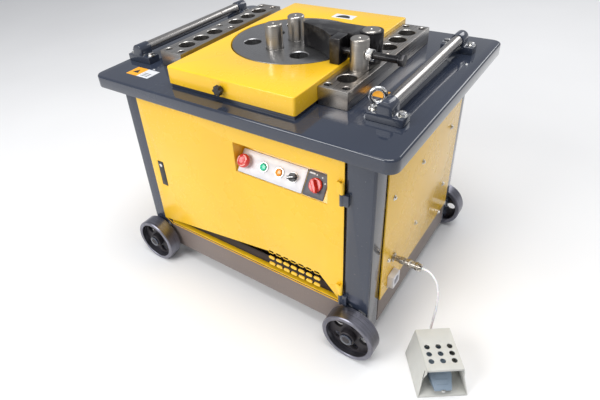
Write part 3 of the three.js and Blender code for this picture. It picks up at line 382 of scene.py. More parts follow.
def make_materials():
    paint = colours()
    dark, yellow = tuple(paint.dark), tuple(paint.yellow)
    centre = middle("centre_pin") * MM + HOME
    MATERIALS.update(
        dark=enamel("dark_enamel", dark, 0.14, 0.5, 0.22),
        table=table_enamel(),
        yellow=enamel("yellow_enamel", yellow, 0.26, 0.3, 0.22, 0.03),
        # The base enamel's brownish grey is a painted reflection of a brown floor over the beams' dark paint.
        base=enamel("base_enamel_with_floor_reflection", tuple(paint.base), 0.4, 0.0, 0.5, 0.25),
        rail=ground_steel("rail_steel", (420, 9, 420)),
        disc=turned_steel("disc_steel", centre),
        pin=bar_steel("pin_steel"),
        roller=roller_steel(),
        oxide=black_oxide(),
        zinc=zinc_plate(),
        gland=gland_plate(),
        tread=wheel_tread(),
        web=cast_iron("wheel_web", (0.035, 0.031, 0.035), 0.45, 0.3),
        cast=cast_iron("cast_housing", (0.11, 0.12, 0.13), 0.5, 0.4),
        gear=cast_iron("gear_metal", (0.30, 0.29, 0.28), 0.3, 1.0, 0.25),
        black=plastic("black_plastic", (0.016, 0.016, 0.018), 0.35),
        grey=plastic("switch_face", (0.085, 0.085, 0.10), 0.42),
        white=plastic("white_plate", (0.80, 0.79, 0.82), 0.28, 0.1),
        bezel=plastic("bezel_plastic", (0.80, 0.80, 0.80), 0.2, 0.1, Metallic=0.35),
        red=plastic("red_plastic", (0.74, 0.045, 0.035), 0.22, 0.1, Coat_Weight=0.4),
        pink=plastic("red_arrows", (0.95, 0.42, 0.36), 0.3, 0.1),
        green=plastic("green_lens", (0.02, 0.62, 0.36), 0.18, 0.1, Coat_Weight=0.5),
        orange=plastic("orange_lens", (0.93, 0.34, 0.03), 0.18, 0.1, Coat_Weight=0.5),
        label_orange=plastic("label_orange", (0.90, 0.40, 0.02), 0.35, 0.05),
        label_white=plastic("label_white", (0.74, 0.76, 0.80), 0.35, 0.05),
        label_black=plastic("label_black", (0.02, 0.02, 0.022), 0.35, 0.05),
        hood=powder_coat("hood_paint", tuple(paint.hood)),
        treadle=powder_coat("treadle_paint", (0.24, 0.31, 0.39)),
        rust=counterbore_rust(),
        rubber=plastic("belt_rubber", (0.02, 0.02, 0.02), 0.8, 0.4),
        sheath=cable_sheath(),
    )


# ------------------------------------------------------------------ mesh shapes
def arc(x, y, radius, start, end, steps=8):
    """Points on an arc, in degrees."""
    angles = [math.radians(start + (end - start) * i / steps) for i in range(steps + 1)]
    return [(x + radius * math.cos(a), y + radius * math.sin(a)) for a in angles]


def spaced(radius, count, first=0, x=0, y=0):
    """Points spread evenly round a circle, the first at an angle in degrees."""
    angles = [math.radians(first + 360 / count * i) for i in range(count)]
    return [(x + radius * math.cos(a), y + radius * math.sin(a)) for a in angles]


def drum(radius, low, high):
    """The profile of a plain cylinder, for lathe."""
    return [(0, low), (radius, low), (radius, high), (0, high)]


def rolled(top, edge, angles):
    """Levels of a folded sheet edge up to top, as (height, inset) pairs."""
    turns = [math.radians(a) for a in angles]
    return [(top - edge * (1 - math.sin(a)), edge * (1 - math.cos(a))) for a in turns]


def circle(x, y, radius, steps=48):
    """An outline that grows with its one argument."""
    return lambda grow: arc(x, y, radius + grow, 0, 360 * (1 - 1 / steps), steps - 1)


def rounded(x0, x1, y0, y1, radius, steps=6):
    def outline(grow):
        r = max(radius + grow, 0.3)
        a, b, c, d = x0 - grow, x1 + grow, y0 - grow, y1 + grow
        return (arc(b - r, c + r, r, -90, 0, steps) + arc(b - r, d - r, r, 0, 90, steps)
                + arc(a + r, d - r, r, 90, 180, steps) + arc(a + r, c + r, r, 180, 270, steps))
    return outline


def edge_rows(low, high, radius, steps=3):
    """Levels of a plate whose two faces end in a rounded edge: (height, inset) pairs from low to high."""
    turns = [math.pi / 2 * i / steps for i in range(steps + 1)]
    curve = [(radius * (1 - math.cos(a)), radius * (1 - math.sin(a))) for a in turns]
    bottom = [(low + rise, inset) for rise, inset in curve]
    top = [(high - rise, inset) for rise, inset in reversed(curve)]
    return bottom + top


def plate(outer, holes, rows, hole_rows=None):
    """A flat plate with holes: outlines stacked as rows of (height, inset), bridged, filled at both ends."""
    bm = bmesh.new()
    first, last = [], []
    for outline, levels, sign in [(outer, rows, -1)] + [(hole, hole_rows or rows, 1) for hole in holes]:
        rings = []
        for height, inset in levels:
            verts = [bm.verts.new((x, y, height)) for x, y in outline(sign * inset)]
            rings.append([bm.edges.new((a, b)) for a, b in zip(verts, verts[1:] + verts[:1])])
        for lower, upper in zip(rings, rings[1:]):
            bmesh.ops.bridge_loops(bm, edges=lower + upper)
        first += rings[0]
        last += rings[-1]
    for rim in (first, last):
        bmesh.ops.triangle_fill(bm, use_beauty=True, edges=rim)
    bmesh.ops.recalc_face_normals(bm, faces=bm.faces)
    return bm


TURN = {
    "Z": Matrix.Identity(4),
    "X": Matrix.Rotation(math.pi / 2, 4, "Y"),
    "Y": Matrix.Rotation(-math.pi / 2, 4, "X"),
}


def moved(bm, matrix):
    bmesh.ops.transform(bm, matrix=matrix, verts=bm.verts)
    return bm


def lathe(profile, centre=(0, 0, 0), axis="Z", steps=None):
    """A closed profile of (radius, height) pairs spun round an axis through centre."""
    bm = bmesh.new()
    closed = profile[0] == profile[-1]
    points = profile[:-1] if closed else profile
    verts = [bm.verts.new((radius, 0, height)) for radius, height in points]
    pairs = list(zip(verts, verts[1:])) + ([(verts[-1], verts[0])] if closed else [])
    edges = [bm.edges.new(pair) for pair in pairs]
    bmesh.ops.spin(bm, geom=verts + edges, cent=(0, 0, 0), axis=(0, 0, 1), angle=TAU,
                   steps=steps or sizes().round_steps, use_merge=True)
    bmesh.ops.remove_doubles(bm, verts=bm.verts, dist=1e-4)
    bmesh.ops.recalc_face_normals(bm, faces=bm.faces)
    return moved(bm, Matrix.Translation(centre) @ TURN[axis])


def bevelled(bm, width, segments=2, angle=30):
    """Rounds every edge that is sharper than angle."""
    if width:
        limit = math.radians(angle)
        edges = [e for e in bm.edges if len(e.link_faces) == 2 and e.calc_face_angle() > limit]
        bmesh.ops.bevel(bm, geom=edges, offset=width, offset_type="OFFSET", segments=segments, profile=0.5,
                        affect="EDGES", material=-1, clamp_overlap=True)
    return bm


def slab(x, y, z, width=1.0, segments=2):
    """A block between pairs of numbers, with rounded edges."""
    bm = bmesh.new()
    bmesh.ops.create_cube(bm, size=1)
    bmesh.ops.scale(bm, vec=(x[1] - x[0], y[1] - y[0], z[1] - z[0]), verts=bm.verts)
    bmesh.ops.translate(bm, vec=((x[0] + x[1]) / 2, (y[0] + y[1]) / 2, (z[0] + z[1]) / 2), verts=bm.verts)
    return bevelled(bm, width, segments)


def extruded(points, low, high, width=1.0, segments=2, across=None):
    """An outline raised along Z, or along Y with points (x, z), or along X with points (y, z)."""
    bm = bmesh.new()
    face = bm.faces.new([bm.verts.new((a, b, low)) for a, b in points])
    raised = bmesh.ops.extrude_face_region(bm, geom=[face])
    verts = [v for v in raised["geom"] if isinstance(v, bmesh.types.BMVert)]
    bmesh.ops.translate(bm, vec=(0, 0, high - low), verts=verts)
    if across == "Y":
        moved(bm, Matrix(((1, 0, 0, 0), (0, 0, 1, 0), (0, 1, 0, 0), (0, 0, 0, 1))))
    if across == "X":
        moved(bm, Matrix(((0, 0, 1, 0), (1, 0, 0, 0), (0, 1, 0, 0), (0, 0, 0, 1))))
    bmesh.ops.recalc_face_normals(bm, faces=bm.faces)
    return bevelled(bm, width, segments)


def hexagon(across, low, high, centre, axis="Z", turn=0):
    points = spaced(across / math.sqrt(3), 6, turn)
    return moved(extruded(points, low, high, across * 0.035), Matrix.Translation(centre) @ TURN[axis])


def screw_thread(core, crest, low, high, pitch, centre, axis, steps=24):
    """A helical ridge from low to high round a core."""
    bm = bmesh.new()
    section = [(core - 0.4, -pitch * 0.44), (crest, 0), (core - 0.4, pitch * 0.44)]
    verts = [bm.verts.new((r, 0, low + h)) for r, h in section]
    face = bm.faces.new(verts)
    turns = (high - low) / pitch
    count = int(turns * steps)
    bmesh.ops.spin(bm, geom=[face], cent=(0, 0, 0), axis=(0, 0, 1), dvec=(0, 0, pitch / steps),
                   angle=TAU * turns, steps=count)
    bmesh.ops.recalc_face_normals(bm, faces=bm.faces)
    return moved(bm, Matrix.Translation(centre) @ TURN[axis])


class Piece:
    """One finished object, gathered from closed shapes with a material each."""

    def __init__(self, name, *finishes):
        self.name = name
        self.finishes = finishes
        self.bm = bmesh.new()

    def add(self, part, finish=0):
        carried = bpy.data.meshes.new("carried")
        for face in part.faces:
            face.material_index = finish
        part.to_mesh(carried)
        part.free()
        self.bm.from_mesh(carried)
        bpy.data.meshes.remove(carried)
        return self

    def done(self, body, replaces=(), smooth=32):
        bmesh.ops.scale(self.bm, vec=(MM, MM, MM), verts=self.bm.verts)
        bmesh.ops.translate(self.bm, vec=HOME, verts=self.bm.verts)
        mesh = bpy.data.meshes.new(self.name)
        for face in self.bm.faces:
            face.smooth = True
        self.bm.to_mesh(mesh)
        self.bm.free()
        mesh.set_sharp_from_angle(angle=math.radians(smooth))
        for finish in self.finishes:
            mesh.materials.append(MATERIALS[finish])
        piece = bpy.data.objects.new(self.name, mesh)
        bpy.context.scene.collection.objects.link(piece)
        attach(piece, body)
        if replaces:
            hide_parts(*replaces)
        return piece


def from_node(node, width=0.8, segments=2, angle=30):
    """A clean copy of a CAD node's shape, in millimetres, with its sharp edges rounded."""
    bm = bmesh.new()
    bm.from_mesh(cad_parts[node].data)
    bmesh.ops.translate(bm, vec=-HOME, verts=bm.verts)
    bmesh.ops.scale(bm, vec=(1 / MM, 1 / MM, 1 / MM), verts=bm.verts)
    bmesh.ops.remove_doubles(bm, verts=bm.verts, dist=0.01)
    bmesh.ops.dissolve_limit(bm, angle_limit=math.radians(1), verts=bm.verts, edges=bm.edges)
    return bevelled(bm, width, segments, angle)


def refined(node, finish, body, width=0.8, segments=2, extra=(), angle=30):
    """The CAD node's own shape, edges rounded, with a detailed finish; extra holds (shape, finish) pairs."""
    piece = Piece(f"{node}_finished", finish, *[f for _, f in extra])
    piece.add(from_node(node, width, segments, angle))
    for i, (shape, _) in enumerate(extra):
        piece.add(shape, i + 1)
    return piece.done(body, (node,))


def screws(name, places, finish, body, across=13.0, axis="Z", sign=1, washer=True):
    """Hexagon screws with washers; each place is the point where the washer lies."""
    piece = Piece(name, finish)
    for i, place in enumerate(places):
        rise = 0.0
        if washer:
            disc = [(0, 0), (across * 0.85, 0), (across * 0.85, 1.8), (0, 1.8)]
            piece.add(lathe([(r, sign * h) for r, h in disc], place, axis, 32))
            rise = 1.6
        span = sorted((sign * rise, sign * (rise + across * 0.5)))
        piece.add(hexagon(across, *span, place, axis, 17 * i))
    return piece.done(body)


# ------------------------------------------------------------------ operators
class BENDER_OT_stage(bpy.types.Operator):
    """Camera, floor, lights and world"""
    bl_idname = "bender.stage"
    bl_label = "Stage"

    def execute(self, context):
        self.camera(context.scene)
        self.floor(context.scene)
        self.lights(context.scene)
        return {"FINISHED"}

    def camera(self, scene):
        azimuth, elevation, roll = math.radians(38.065), math.radians(34.792), math.radians(-4.618)
        ahead = Vector((-math.sin(azimuth) * math.cos(elevation), math.cos(azimuth) * math.cos(elevation),
                        -math.sin(elevation)))
        flat_right = ahead.cross(Vector((0, 0, 1))).normalized()
        flat_up = flat_right.cross(ahead)
        right = flat_right * math.cos(roll) + flat_up * math.sin(roll)
        up = -flat_right * math.sin(roll) + flat_up * math.cos(roll)
        data = bpy.data.cameras.new("camera")
        data.sensor_width = 36
        data.lens = 29.56
        data.shift_x = 0.042
        data.shift_y = -0.0419
        camera = bpy.data.objects.new("camera", data)
        turn = Matrix((right, up, -ahead)).transposed().to_4x4()
        place = Vector((817.2, -1210.6, 1298.2)) * MM + HOME
        camera.matrix_world = Matrix.Translation(place) @ turn
        scene.collection.objects.link(camera)
        scene.camera = camera

    def floor(self, scene):
        mesh = bpy.data.meshes.new("floor")
        bm = bmesh.new()
        bmesh.ops.create_grid(bm, x_segments=1, y_segments=1, size=30)
        bm.to_mesh(mesh)
        bm.free()
        g = Graph("floor")
        tone = g.mix(g.patches(1.2, 2.0, 0.3, 0.7), (0.88, 0.88, 0.88), (0.91, 0.91, 0.91))
        mesh.materials.append(g.finish(tone, 0.6))
        floor = bpy.data.objects.new("floor", mesh)
        scene.collection.objects.link(floor)
        floor.location.z = -0.001

    def lights(self, scene):
        world = bpy.data.worlds.new("studio")
        scene.world = world
        world.use_nodes = True
        sky = world.node_tree.nodes["Background"]
        sky.inputs["Color"].default_value = (0.93, 0.95, 1.0, 1)
        sky.inputs["Strength"].default_value = 0.42
        for name, place, size, power in (
                ("key", (-1.5, -3.7, 3.0), 2.4, 128), ("top", (0.5, -0.4, 4.4), 2.4, 108),
                ("side", (4.4, 1.2, 2.4), 1.8, 2), ("back", (0.9, 4.0, 3.2), 2.0, 40)):
            data = bpy.data.lights.new(name, "AREA")
            data.size = size
            data.energy = power
            lamp = bpy.data.objects.new(name, data)
            aim = Vector((0, 0, 0.5)) - Vector(place)
            lamp.rotation_mode = "QUATERNION"
            lamp.rotation_quaternion = aim.to_track_quat("-Z", "Y")
            lamp.location = place
            scene.collection.objects.link(lamp)
        scene.view_settings.view_transform = "Standard"


# The cable's route, as in the CAD model, in millimetres.
ROUTE = [
    (527.6, -207, 266), (537, -207.5, 266.3), (547, -209, 266), (558, -212, 263), (568.5, -216.5, 257),
    (577, -221, 248), (583.5, -225.5, 236), (587.5, -228.5, 222), (589.8, -230.5, 206), (590.8, -231.2, 189),
    (590.8, -231.2, 171), (590, -230.8, 152), (588.8, -230, 132), (587.5, -229, 112), (586, -227.8, 92),
    (584.8, -226.6, 74), (584.3, -226.3, 60), (585, -228, 46), (587.5, -232.5, 35), (591.5, -238.5, 26.5),
    (597, -246.5, 21.6), (601.2, -252.6, 21),
]


class BENDER_OT_cable(bpy.types.Operator):
    """The pedal cable, from its gland to the back of the pedal"""
    bl_idname = "bender.cable"
    bl_label = "Pedal cable"

    def execute(self, context):
        curve = bpy.data.curves.new("pedal_cable_finished", "CURVE")
        curve.dimensions = "3D"
        curve.bevel_depth = 3.5 * MM
        curve.bevel_resolution = 6
        curve.resolution_u = 6
        curve.use_fill_caps = True
        points = [Vector(p) * MM + HOME for p in ROUTE]
        spline = curve.splines.new("BEZIER")
        spline.bezier_points.add(len(points) - 1)
        for i, (bezier, point) in enumerate(zip(spline.bezier_points, points)):
            before, after = points[max(i - 1, 0)], points[min(i + 1, len(points) - 1)]
            lean = (after - before) / 6
            bezier.co = point
            bezier.handle_left_type = bezier.handle_right_type = "FREE"
            bezier.handle_left = point - lean
            bezier.handle_right = point + lean
        curve.materials.append(MATERIALS["sheath"])
        cable = bpy.data.objects.new("pedal_cable_finished", curve)
        context.scene.collection.objects.link(cable)
        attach(cable, "root")
        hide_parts("pedal_cable")
        return {"FINISHED"}


class BENDER_OT_cabinet(bpy.types.Operator):
    """Base beams, legs, panels and what is bolted to them"""
    bl_idname = "bender.cabinet"
    bl_label = "Cabinet"

    def execute(self, context):
        # The beams and floor pan take the base enamel, whose colour carries a painted floor reflection.
        for side in ("front", "rear", "left", "right"):
            refined(f"base_beam_{side}", "base", "root", 3.0, 3)
        refined("floor_pan", "base", "root", 0.8)
        for end in ("front", "rear"):
            for side in ("left", "right"):
                refined(f"leg_{end}_{side}", "dark", "root", 1.0)
        for side in ("left", "right"):
            refined(f"side_panel_{side}", "yellow", "root", 1.5, 3)
        refined("rear_panel", "yellow", "root", 0.8)
        self.panel_screws()
        self.axle_nuts()
        return {"FINISHED"}

    def panel_screws(self):
        spots = [(-238, 503), (-46, 504), (184, 503), (-242, 283), (-50, 282), (184, 283), (-231, 167),
                 (184, 159)]
        right = local("side_panel_right")[1].x
        screws("side_screws_right", [(right, y, z) for y, z in spots], "zinc", "root", 9.0, "X")
        left = local("side_panel_left")[0].x
        screws("side_screws_left", [(left, y, z) for y, z in spots], "zinc", "root", 9.0, "X", -1)
        low, high = local("rear_panel")
        corners = [(x, high.y, z) for x in (low.x + 16, 0, high.x - 16) for z in (low.z + 20, high.z - 70)]
        screws("rear_screws", corners, "zinc", "root", 9.0, "Y")

    def axle_nuts(self):
        piece = Piece("axle_nuts", "web")
        for end, sign in (("front", -1), ("rear", 1)):
            for side in ("left", "right"):
                low, high = local(f"wheel_{end}_{side}")
                x = (low.x + high.x) / 2
                tip = local(f"leg_{end}_{side}")[0 if sign < 0 else 1].y
                cap = sorted((tip, tip - sign * 3))
                piece.add(hexagon(24, cap[0] - 0.2, cap[1], (x, 0, (low.z + high.z) / 2), "Y", 12))
        piece.done("root")


class BENDER_OT_table(bpy.types.Operator):
    """The folded table, its plinth painted dark as the shadow gap under the turntable cover, and its labels
    """
    bl_idname = "bender.table"
    bl_label = "Table"

    def execute(self, context):
        low, high = local("table_top")
        top = local("rail_left")[0].z - 0.3
        edge = 6.0
        outline = rounded(low.x, high.x, low.y, high.y, 30, 8)
        curve = rolled(top, edge, (0, 18, 36, 54, 72, 90))
        rows = [(top - 8, 9), (low.z, 9), (low.z, 2), (low.z + 1, 0.6), (low.z + 3, 0)] + curve
        table = Piece("table_top_finished", "table")
        table.add(plate(outline, [], rows))
        # The plinth is the turntable cover's inset skirt; it takes the table's dark enamel as painted shade
        # for the shadow gap under the cover's edge.
        cover_low, cover_high = local("turntable_cover")
        inset = 5
        table.add(slab((cover_low.x + inset, cover_high.x - inset),
                       (cover_low.y + inset, cover_high.y - inset), (top - 1, high.z), 0.5))
        table.done("root", ("table_top",))
        self.labels(top)
        return {"FINISHED"}

    def labels(self, top):
        thick = (top, top + 0.4)
        rating = Piece("table_label", "label_orange", "label_white", "label_black")
        rating.add(slab((-413, -366), (-339, -287), thick, 0.1, 1))
        rating.add(slab((-365.8, -318), (-339, -287), thick, 0.1, 1), 1)
        for y in (-330, -322, -314):
            rating.add(slab((-358, -328), (y, y + 2.4), (top + 0.3, top + 0.55), 0.05, 1), 2)
        rating.add(extruded([(-402, -322), (-378, -322), (-390, -300)], top + 0.3, top + 0.55, 0.05, 1), 2)
        rating.done("root")
        small = Piece("small_label", "label_orange")
        small.add(slab((309, 350), (-136, -96), thick, 0.1, 1))
        small.done("root")
        cover = local("turntable_cover")[1].z
        notice = Piece("cover_label", "label_white", "label_black")
        notice.add(slab((-9, 67), (215, 254), (cover, cover + 0.4), 0.1, 1))
        notice.add(extruded(arc(29, 222, 25, 0, 180, 20), cover + 0.3, cover + 0.6, 0.05, 1), 1)
        notice.done("root")


class BENDER_OT_turntable(bpy.types.Operator):
    """The cover with its round opening, the pin disc, and the pins"""
    bl_idname = "bender.turntable"
    bl_label = "Turntable"

    def execute(self, context):
        low, high = local("turntable_cover")
        x, y = middle("centre_pin").x, middle("centre_pin").y
        edge = sizes().edge
        cover = Piece("turntable_cover_finished", "yellow")
        curve = rolled(high.z, edge, (0, 22, 45, 68, 90))
        inner = [(low.z, 0), (high.z - 1.2, 0), (high.z - 0.3, 0.4), (high.z, 1.2)]
        outline = rounded(low.x, high.x, low.y, high.y, 8, 6)
        cover.add(plate(outline, [circle(x, y, 200, 96)], [(low.z, 0)] + curve, inner))
        cover.done("root", ("turntable_cover",))
        self.disc(x, y, local("turntable_disc")[1].z)
        self.pins()
        self.knob()
        return {"FINISHED"}

    def disc(self, x, y, top):
        rings = [(90, -102), (133, -144)]
        places = [(x, y)] + [spot for r, first in rings for spot in spaced(r, 4, first, x, y)]
        holes = [circle(px, py, 26, 48) for px, py in places]
        under = top - 42
        rim = [(under, 0), (top - 1.5, 0), (top - 0.4, 0.5), (top, 1.6)]
        bore = [(under, 0), (top - 2.2, 0), (top, 2.2)]
        disc = Piece("turntable_disc_finished", "disc", "gear")
        disc.add(plate(circle(x, y, 196, 128), holes, rim, bore))
        disc.add(lathe(drum(195.5, under - 3, under - 0.1), (x, y, 0)))
        shaft = local("turntable_disc")[0].z
        disc.add(lathe(drum(30, shaft, under - 2), (x, y, 0)), 1)
        disc.done("turntable", ("turntable_disc",))
        refined("worm_wheel", "gear", "turntable", 0.4)

    def pins(self):
        for name, body in (("centre_pin", "centre_pin"), ("bending_pin", "bending_pin"),
                           ("stop_pin", "stop_post"), ("arm_pin", "arm_pin")):
            low, high = local(name)
            r = 25.0
            profile = [(0, low.z), (r - 2, low.z), (r, low.z + 2), (r, high.z - 3.2), (r - 0.5, high.z - 2.2),
                       (r - 3, high.z), (4.4, high.z), (3.2, high.z - 1.2), (0, high.z - 3.6)]
            centre = (low + high) / 2
            pin = Piece(f"{name}_finished", "pin")
            pin.add(lathe(profile, (centre.x, centre.y, 0), steps=96))
            pin.done(body, (name,))

    def knob(self):
        low, high = local("cover_knob")
        x, z = (low.x + high.x) / 2, (low.z + high.z) / 2
        front = low.y
        lobes = []
        for i in range(60):
            angle = TAU * i / 60
            r = 12.6 + 2.1 * math.cos(6 * angle)
            lobes.append((x + r * math.cos(angle), z + r * math.sin(angle)))
        knob = Piece("cover_knob_finished", "black", "zinc")
        knob.add(extruded(lobes, front + 0.5, front + 15, 1.2, 3, "Y"))
        knob.add(lathe([(0, front), (7, front), (7.8, front + 1.5), (0, front + 1.5)], (x, 0, z), "Y", 32))
        knob.add(lathe(drum(8, front + 14, front + 19.4), (x, 0, z), "Y", 32))
        knob.add(lathe(drum(4, front + 19, high.y), (x, 0, z), "Y", 24), 1)
        knob.done("cover_knob", ("cover_knob",))


class BENDER_OT_rails(bpy.types.Operator):
    """The two pin rails with their screws"""
    bl_idname = "bender.rails"
    bl_label = "Pin rails"

    def execute(self, context):
        for side in ("left", "right"):
            low, high = local(f"rail_{side}")
            x, y = (low.x + high.x) / 2, (low.y + high.y) / 2
            big = [circle(x, y + offset, 26, 48) for offset in (-188, -122, -56, 56, 122, 188)]
            spots = [(x + sx * 26, y + sy * 240 if sy else y) for sx in (-1, 1) for sy in (-1, 0, 1)]
            small = [circle(px, py, 10, 32) for px, py in spots]
            chamfer = sizes().chamfer
            rows = edge_rows(low.z, high.z, chamfer, 2)
            bores = [(low.z, 0), (high.z - 1.6, 0), (high.z, 1.6)]
            rail = Piece(f"rail_{side}_finished", "rail", "rust", "black")
            rail.add(plate(rounded(low.x, high.x, low.y, high.y, 1.5, 3), big + small, rows, bores))
            for px, py in spots:
                seat = high.z - 12
                rail.add(lathe(drum(9.8, seat - 4, seat), (px, py, 0), steps=32), 1)
                head = [(0, seat), (8.2, seat), (8.2, seat + 7), (7.4, seat + 8), (4.2, seat + 8),
                        (4.0, seat + 4), (0, seat + 4)]
                rail.add(lathe(head, (px, py, 0), steps=32), 2)
            rail.done("root", (f"rail_{side}",))
        return {"FINISHED"}


class BENDER_OT_stop(bpy.types.Operator):
    """The bending arm, the stop pad, its screw and its lock nut"""
    bl_idname = "bender.stop"
    bl_label = "Arm and stop"

    def execute(self, context):
        refined("bending_arm", "oxide", "arm", 3.2, 3, angle=35)
        refined("stop_pad", "oxide", "stop_slide", 1.6, 2)
        self.screw()
        self.nut()
        return {"FINISHED"}

    def screw(self):
        low, high = local("stop_bolt")
        y, z = (low.y + high.y) / 2, (low.z + high.z) / 2
        head = high.x - 13
        pitch = sizes().thread_pitch
        bolt = Piece("stop_bolt_finished", "oxide")
        bolt.add(lathe([(0, low.x), (7.6, low.x), (8.6, low.x + 1.5), (8.6, head + 0.5), (0, head + 0.5)],
                       (0, y, z), "X", 48))
        bolt.add(screw_thread(8.6, 9.7, low.x + 3, head - 4, pitch, (0, y, z), "X"))
        bolt.add(lathe(drum(13.4, head - 1, head), (0, y, z), "X", 48))
        bolt.add(hexagon(29, head, high.x, (0, y, z), "X", 8))
        bolt.done("stop_screw", ("stop_bolt",))

    def nut(self):
        low, high = local("lock_nut")
        y, z = (low.y + high.y) / 2, (low.z + high.z) / 2
        nut = Piece("lock_nut_finished", "zinc")
        washer = [(10.1, low.x - 0.6), (14.4, low.x - 0.6), (14.4, low.x + 1), (10.1, low.x + 1),
                  (10.1, low.x - 0.6)]
        across, bore = 30, 10.2
        body = plate(lambda grow: spaced(across / math.sqrt(3) + grow, 6, 5), [circle(0, 0, bore, 48)],
                     [(low.x + 0.5, 1.6), (low.x + 1.6, 0), (high.x - 1.6, 0), (high.x, 1.6)],
                     [(low.x + 0.5, 1.0), (low.x + 1.6, 0), (high.x - 1.6, 0), (high.x, 1.0)])
        nut.add(moved(body, Matrix.Translation((0, y, z)) @ TURN["X"]))
        nut.add(lathe(washer, (0, y, z), "X", 48))
        nut.done("stop_post", ("lock_nut",))


class BENDER_OT_rollers(bpy.types.Operator):
    """The side rollers in their bearing blocks, and the lifting eye"""
    bl_idname = "bender.rollers"
    bl_label = "Rollers"

    def execute(self, context):
        bolts = []
        for side in ("left", "right"):
            low, high = local(f"roller_{side}")
            x, z = (low.x + high.x) / 2, (low.z + high.z) / 2
            front, back = low.y + 29, high.y - 29
            r = 16.5
            profile = [(0, low.y), (10, low.y), (10, front), (r - 1, front), (r, front + 1), (r, back - 1),
                       (r - 1, back), (10, back), (10, high.y), (0, high.y)]
            roller = Piece(f"roller_{side}_finished", "roller")
            roller.add(lathe(profile, (x, 0, z), "Y", 96))
            roller.done(f"roller_{side}", (f"roller_{side}",))
            for end in ("front", "rear"):
                bolts += self.block(f"bearing_block_{end}_{side}", x, z)
        screws("block_bolts", bolts, "zinc", "root", 16.0)
        self.eye()
        return {"FINISHED"}

    def block(self, node, x, z):
        low, high = local(node)
        foot = low.z + 21
        r = 19.5
        fillet = 4
        turns = [math.radians(a) for a in (0, 30, 60, 90)]
        reach = [(r + fillet * (1 - math.sin(a)), foot + fillet * (1 - math.cos(a))) for a in turns]
        outline = ([(low.x, low.z), (high.x, low.z), (high.x, foot)]
                   + [(x + out, up) for out, up in reach]
                   + arc(x, z, r, 0, 180, 28)
                   + [(x - out, up) for out, up in reversed(reach)]
                   + [(low.x, foot)])
        block = Piece(f"{node}_finished", "dark")
        block.add(extruded(outline, low.y, high.y, 1.8, 3, "Y"))
        block.done("root", (node,))
        return [(x + s * 36, (low.y + high.y) / 2, foot) for s in (-1, 1)]

    def eye(self):
        low, high = local("eye_bolt")
        x, y = (low.x + high.x) / 2, (low.y + high.y) / 2
        ring, wire, extra = 19.5, 6.2, 0.7
        z = high.z - ring - (wire - extra)
        eye = Piece("eye_bolt_finished", "zinc")
        loop = arc(ring, 0, wire, 0, 360, 16)
        torus = lathe(loop[:-1] + [loop[0]], steps=48)
        turn = Matrix.Rotation(math.radians(25), 4, "Z") @ Matrix.Rotation(math.pi / 2, 4, "X")
        eye.add(moved(torus, Matrix.Translation((x, y, z)) @ turn))
        collar = z - ring
        neck = [(0, low.z), (14, low.z), (14, low.z + 4), (10, low.z + 6), (8, collar), (8, collar + 2),
                (0, collar + 2)]
        eye.add(lathe(neck, (x, y, 0), steps=40))
        eye.done("root", ("eye_bolt",))


class BENDER_OT_wheels(bpy.types.Operator):
    """Cast wheels with a machined tread and five windows in the web"""
    bl_idname = "bender.wheels"
    bl_label = "Wheels"

    def execute(self, context):
        for end, sign in (("front", -1), ("rear", 1)):
            for side in ("left", "right"):
                self.wheel(f"wheel_{end}_{side}", sign)
        return {"FINISHED"}

    def wheel(self, node, sign):
        low, high = local(node)
        x, z = (low.x + high.x) / 2, (low.z + high.z) / 2
        face, back = (low.y, high.y) if sign < 0 else (high.y, low.y)
        step = -sign

        def at(depth):
            return face + step * depth

        r, rim, hub, bore = 82.0, 68.0, 24.0, 12.4
        wide = abs(back - face)
        tread = [(rim, at(1)), (rim + 1, at(0)), (r - 2.5, at(0)), (r, at(2.5)), (r, at(wide - 2.5)),
                 (r - 2.5, at(wide)), (rim + 1, at(wide)), (rim, at(wide - 1)), (rim, at(1))]
        boss = [(bore, at(0.5)), (bore + 1, at(0)), (hub - 2, at(0)), (hub, at(2)), (hub, at(wide - 2)),
                (hub - 2, at(wide)), (bore + 1, at(wide)), (bore, at(wide - 0.5)), (bore, at(0.5))]
        wheel = Piece(f"{node}_finished", "tread", "web")
        wheel.add(lathe(tread, (x, 0, z), "Y", 96))
        wheel.add(lathe(boss, (x, 0, z), "Y", 64), 1)
        holes = [circle(a, b, 14.6, 40) for a, b in spaced(46, 5)]
        middle_y = (low.y + high.y) / 2
        web = plate(circle(0, 0, rim + 1, 96), holes + [circle(0, 0, hub - 1, 48)],
                    edge_rows(middle_y - 5, middle_y + 5, 1.2, 2))
        wheel.add(moved(web, Matrix.Translation((x, 0, z)) @ TURN["Y"]), 1)
        wheel.done(node, (node,))


# The door sheet is cut back in an arc round the front left wheel's axle.
WHEEL_AXLE, WHEEL_ROOM = (-400, 82), 87
# The control panel leans back from the foot of its recess in the door.
RECESS = {"left": 4, "right": 307, "low": 503, "high": 601, "lean": math.radians(36)}
DOOR_FACE = local("door_latch")[0].y + 1


def on_panel():
    """The control panel's frame: x along it, y up its slope, z out of it."""
    turn = Matrix.Rotation(math.pi / 2 - RECESS["lean"], 4, "X")
    return Matrix.Translation((0, DOOR_FACE + 3, RECESS["low"])) @ turn


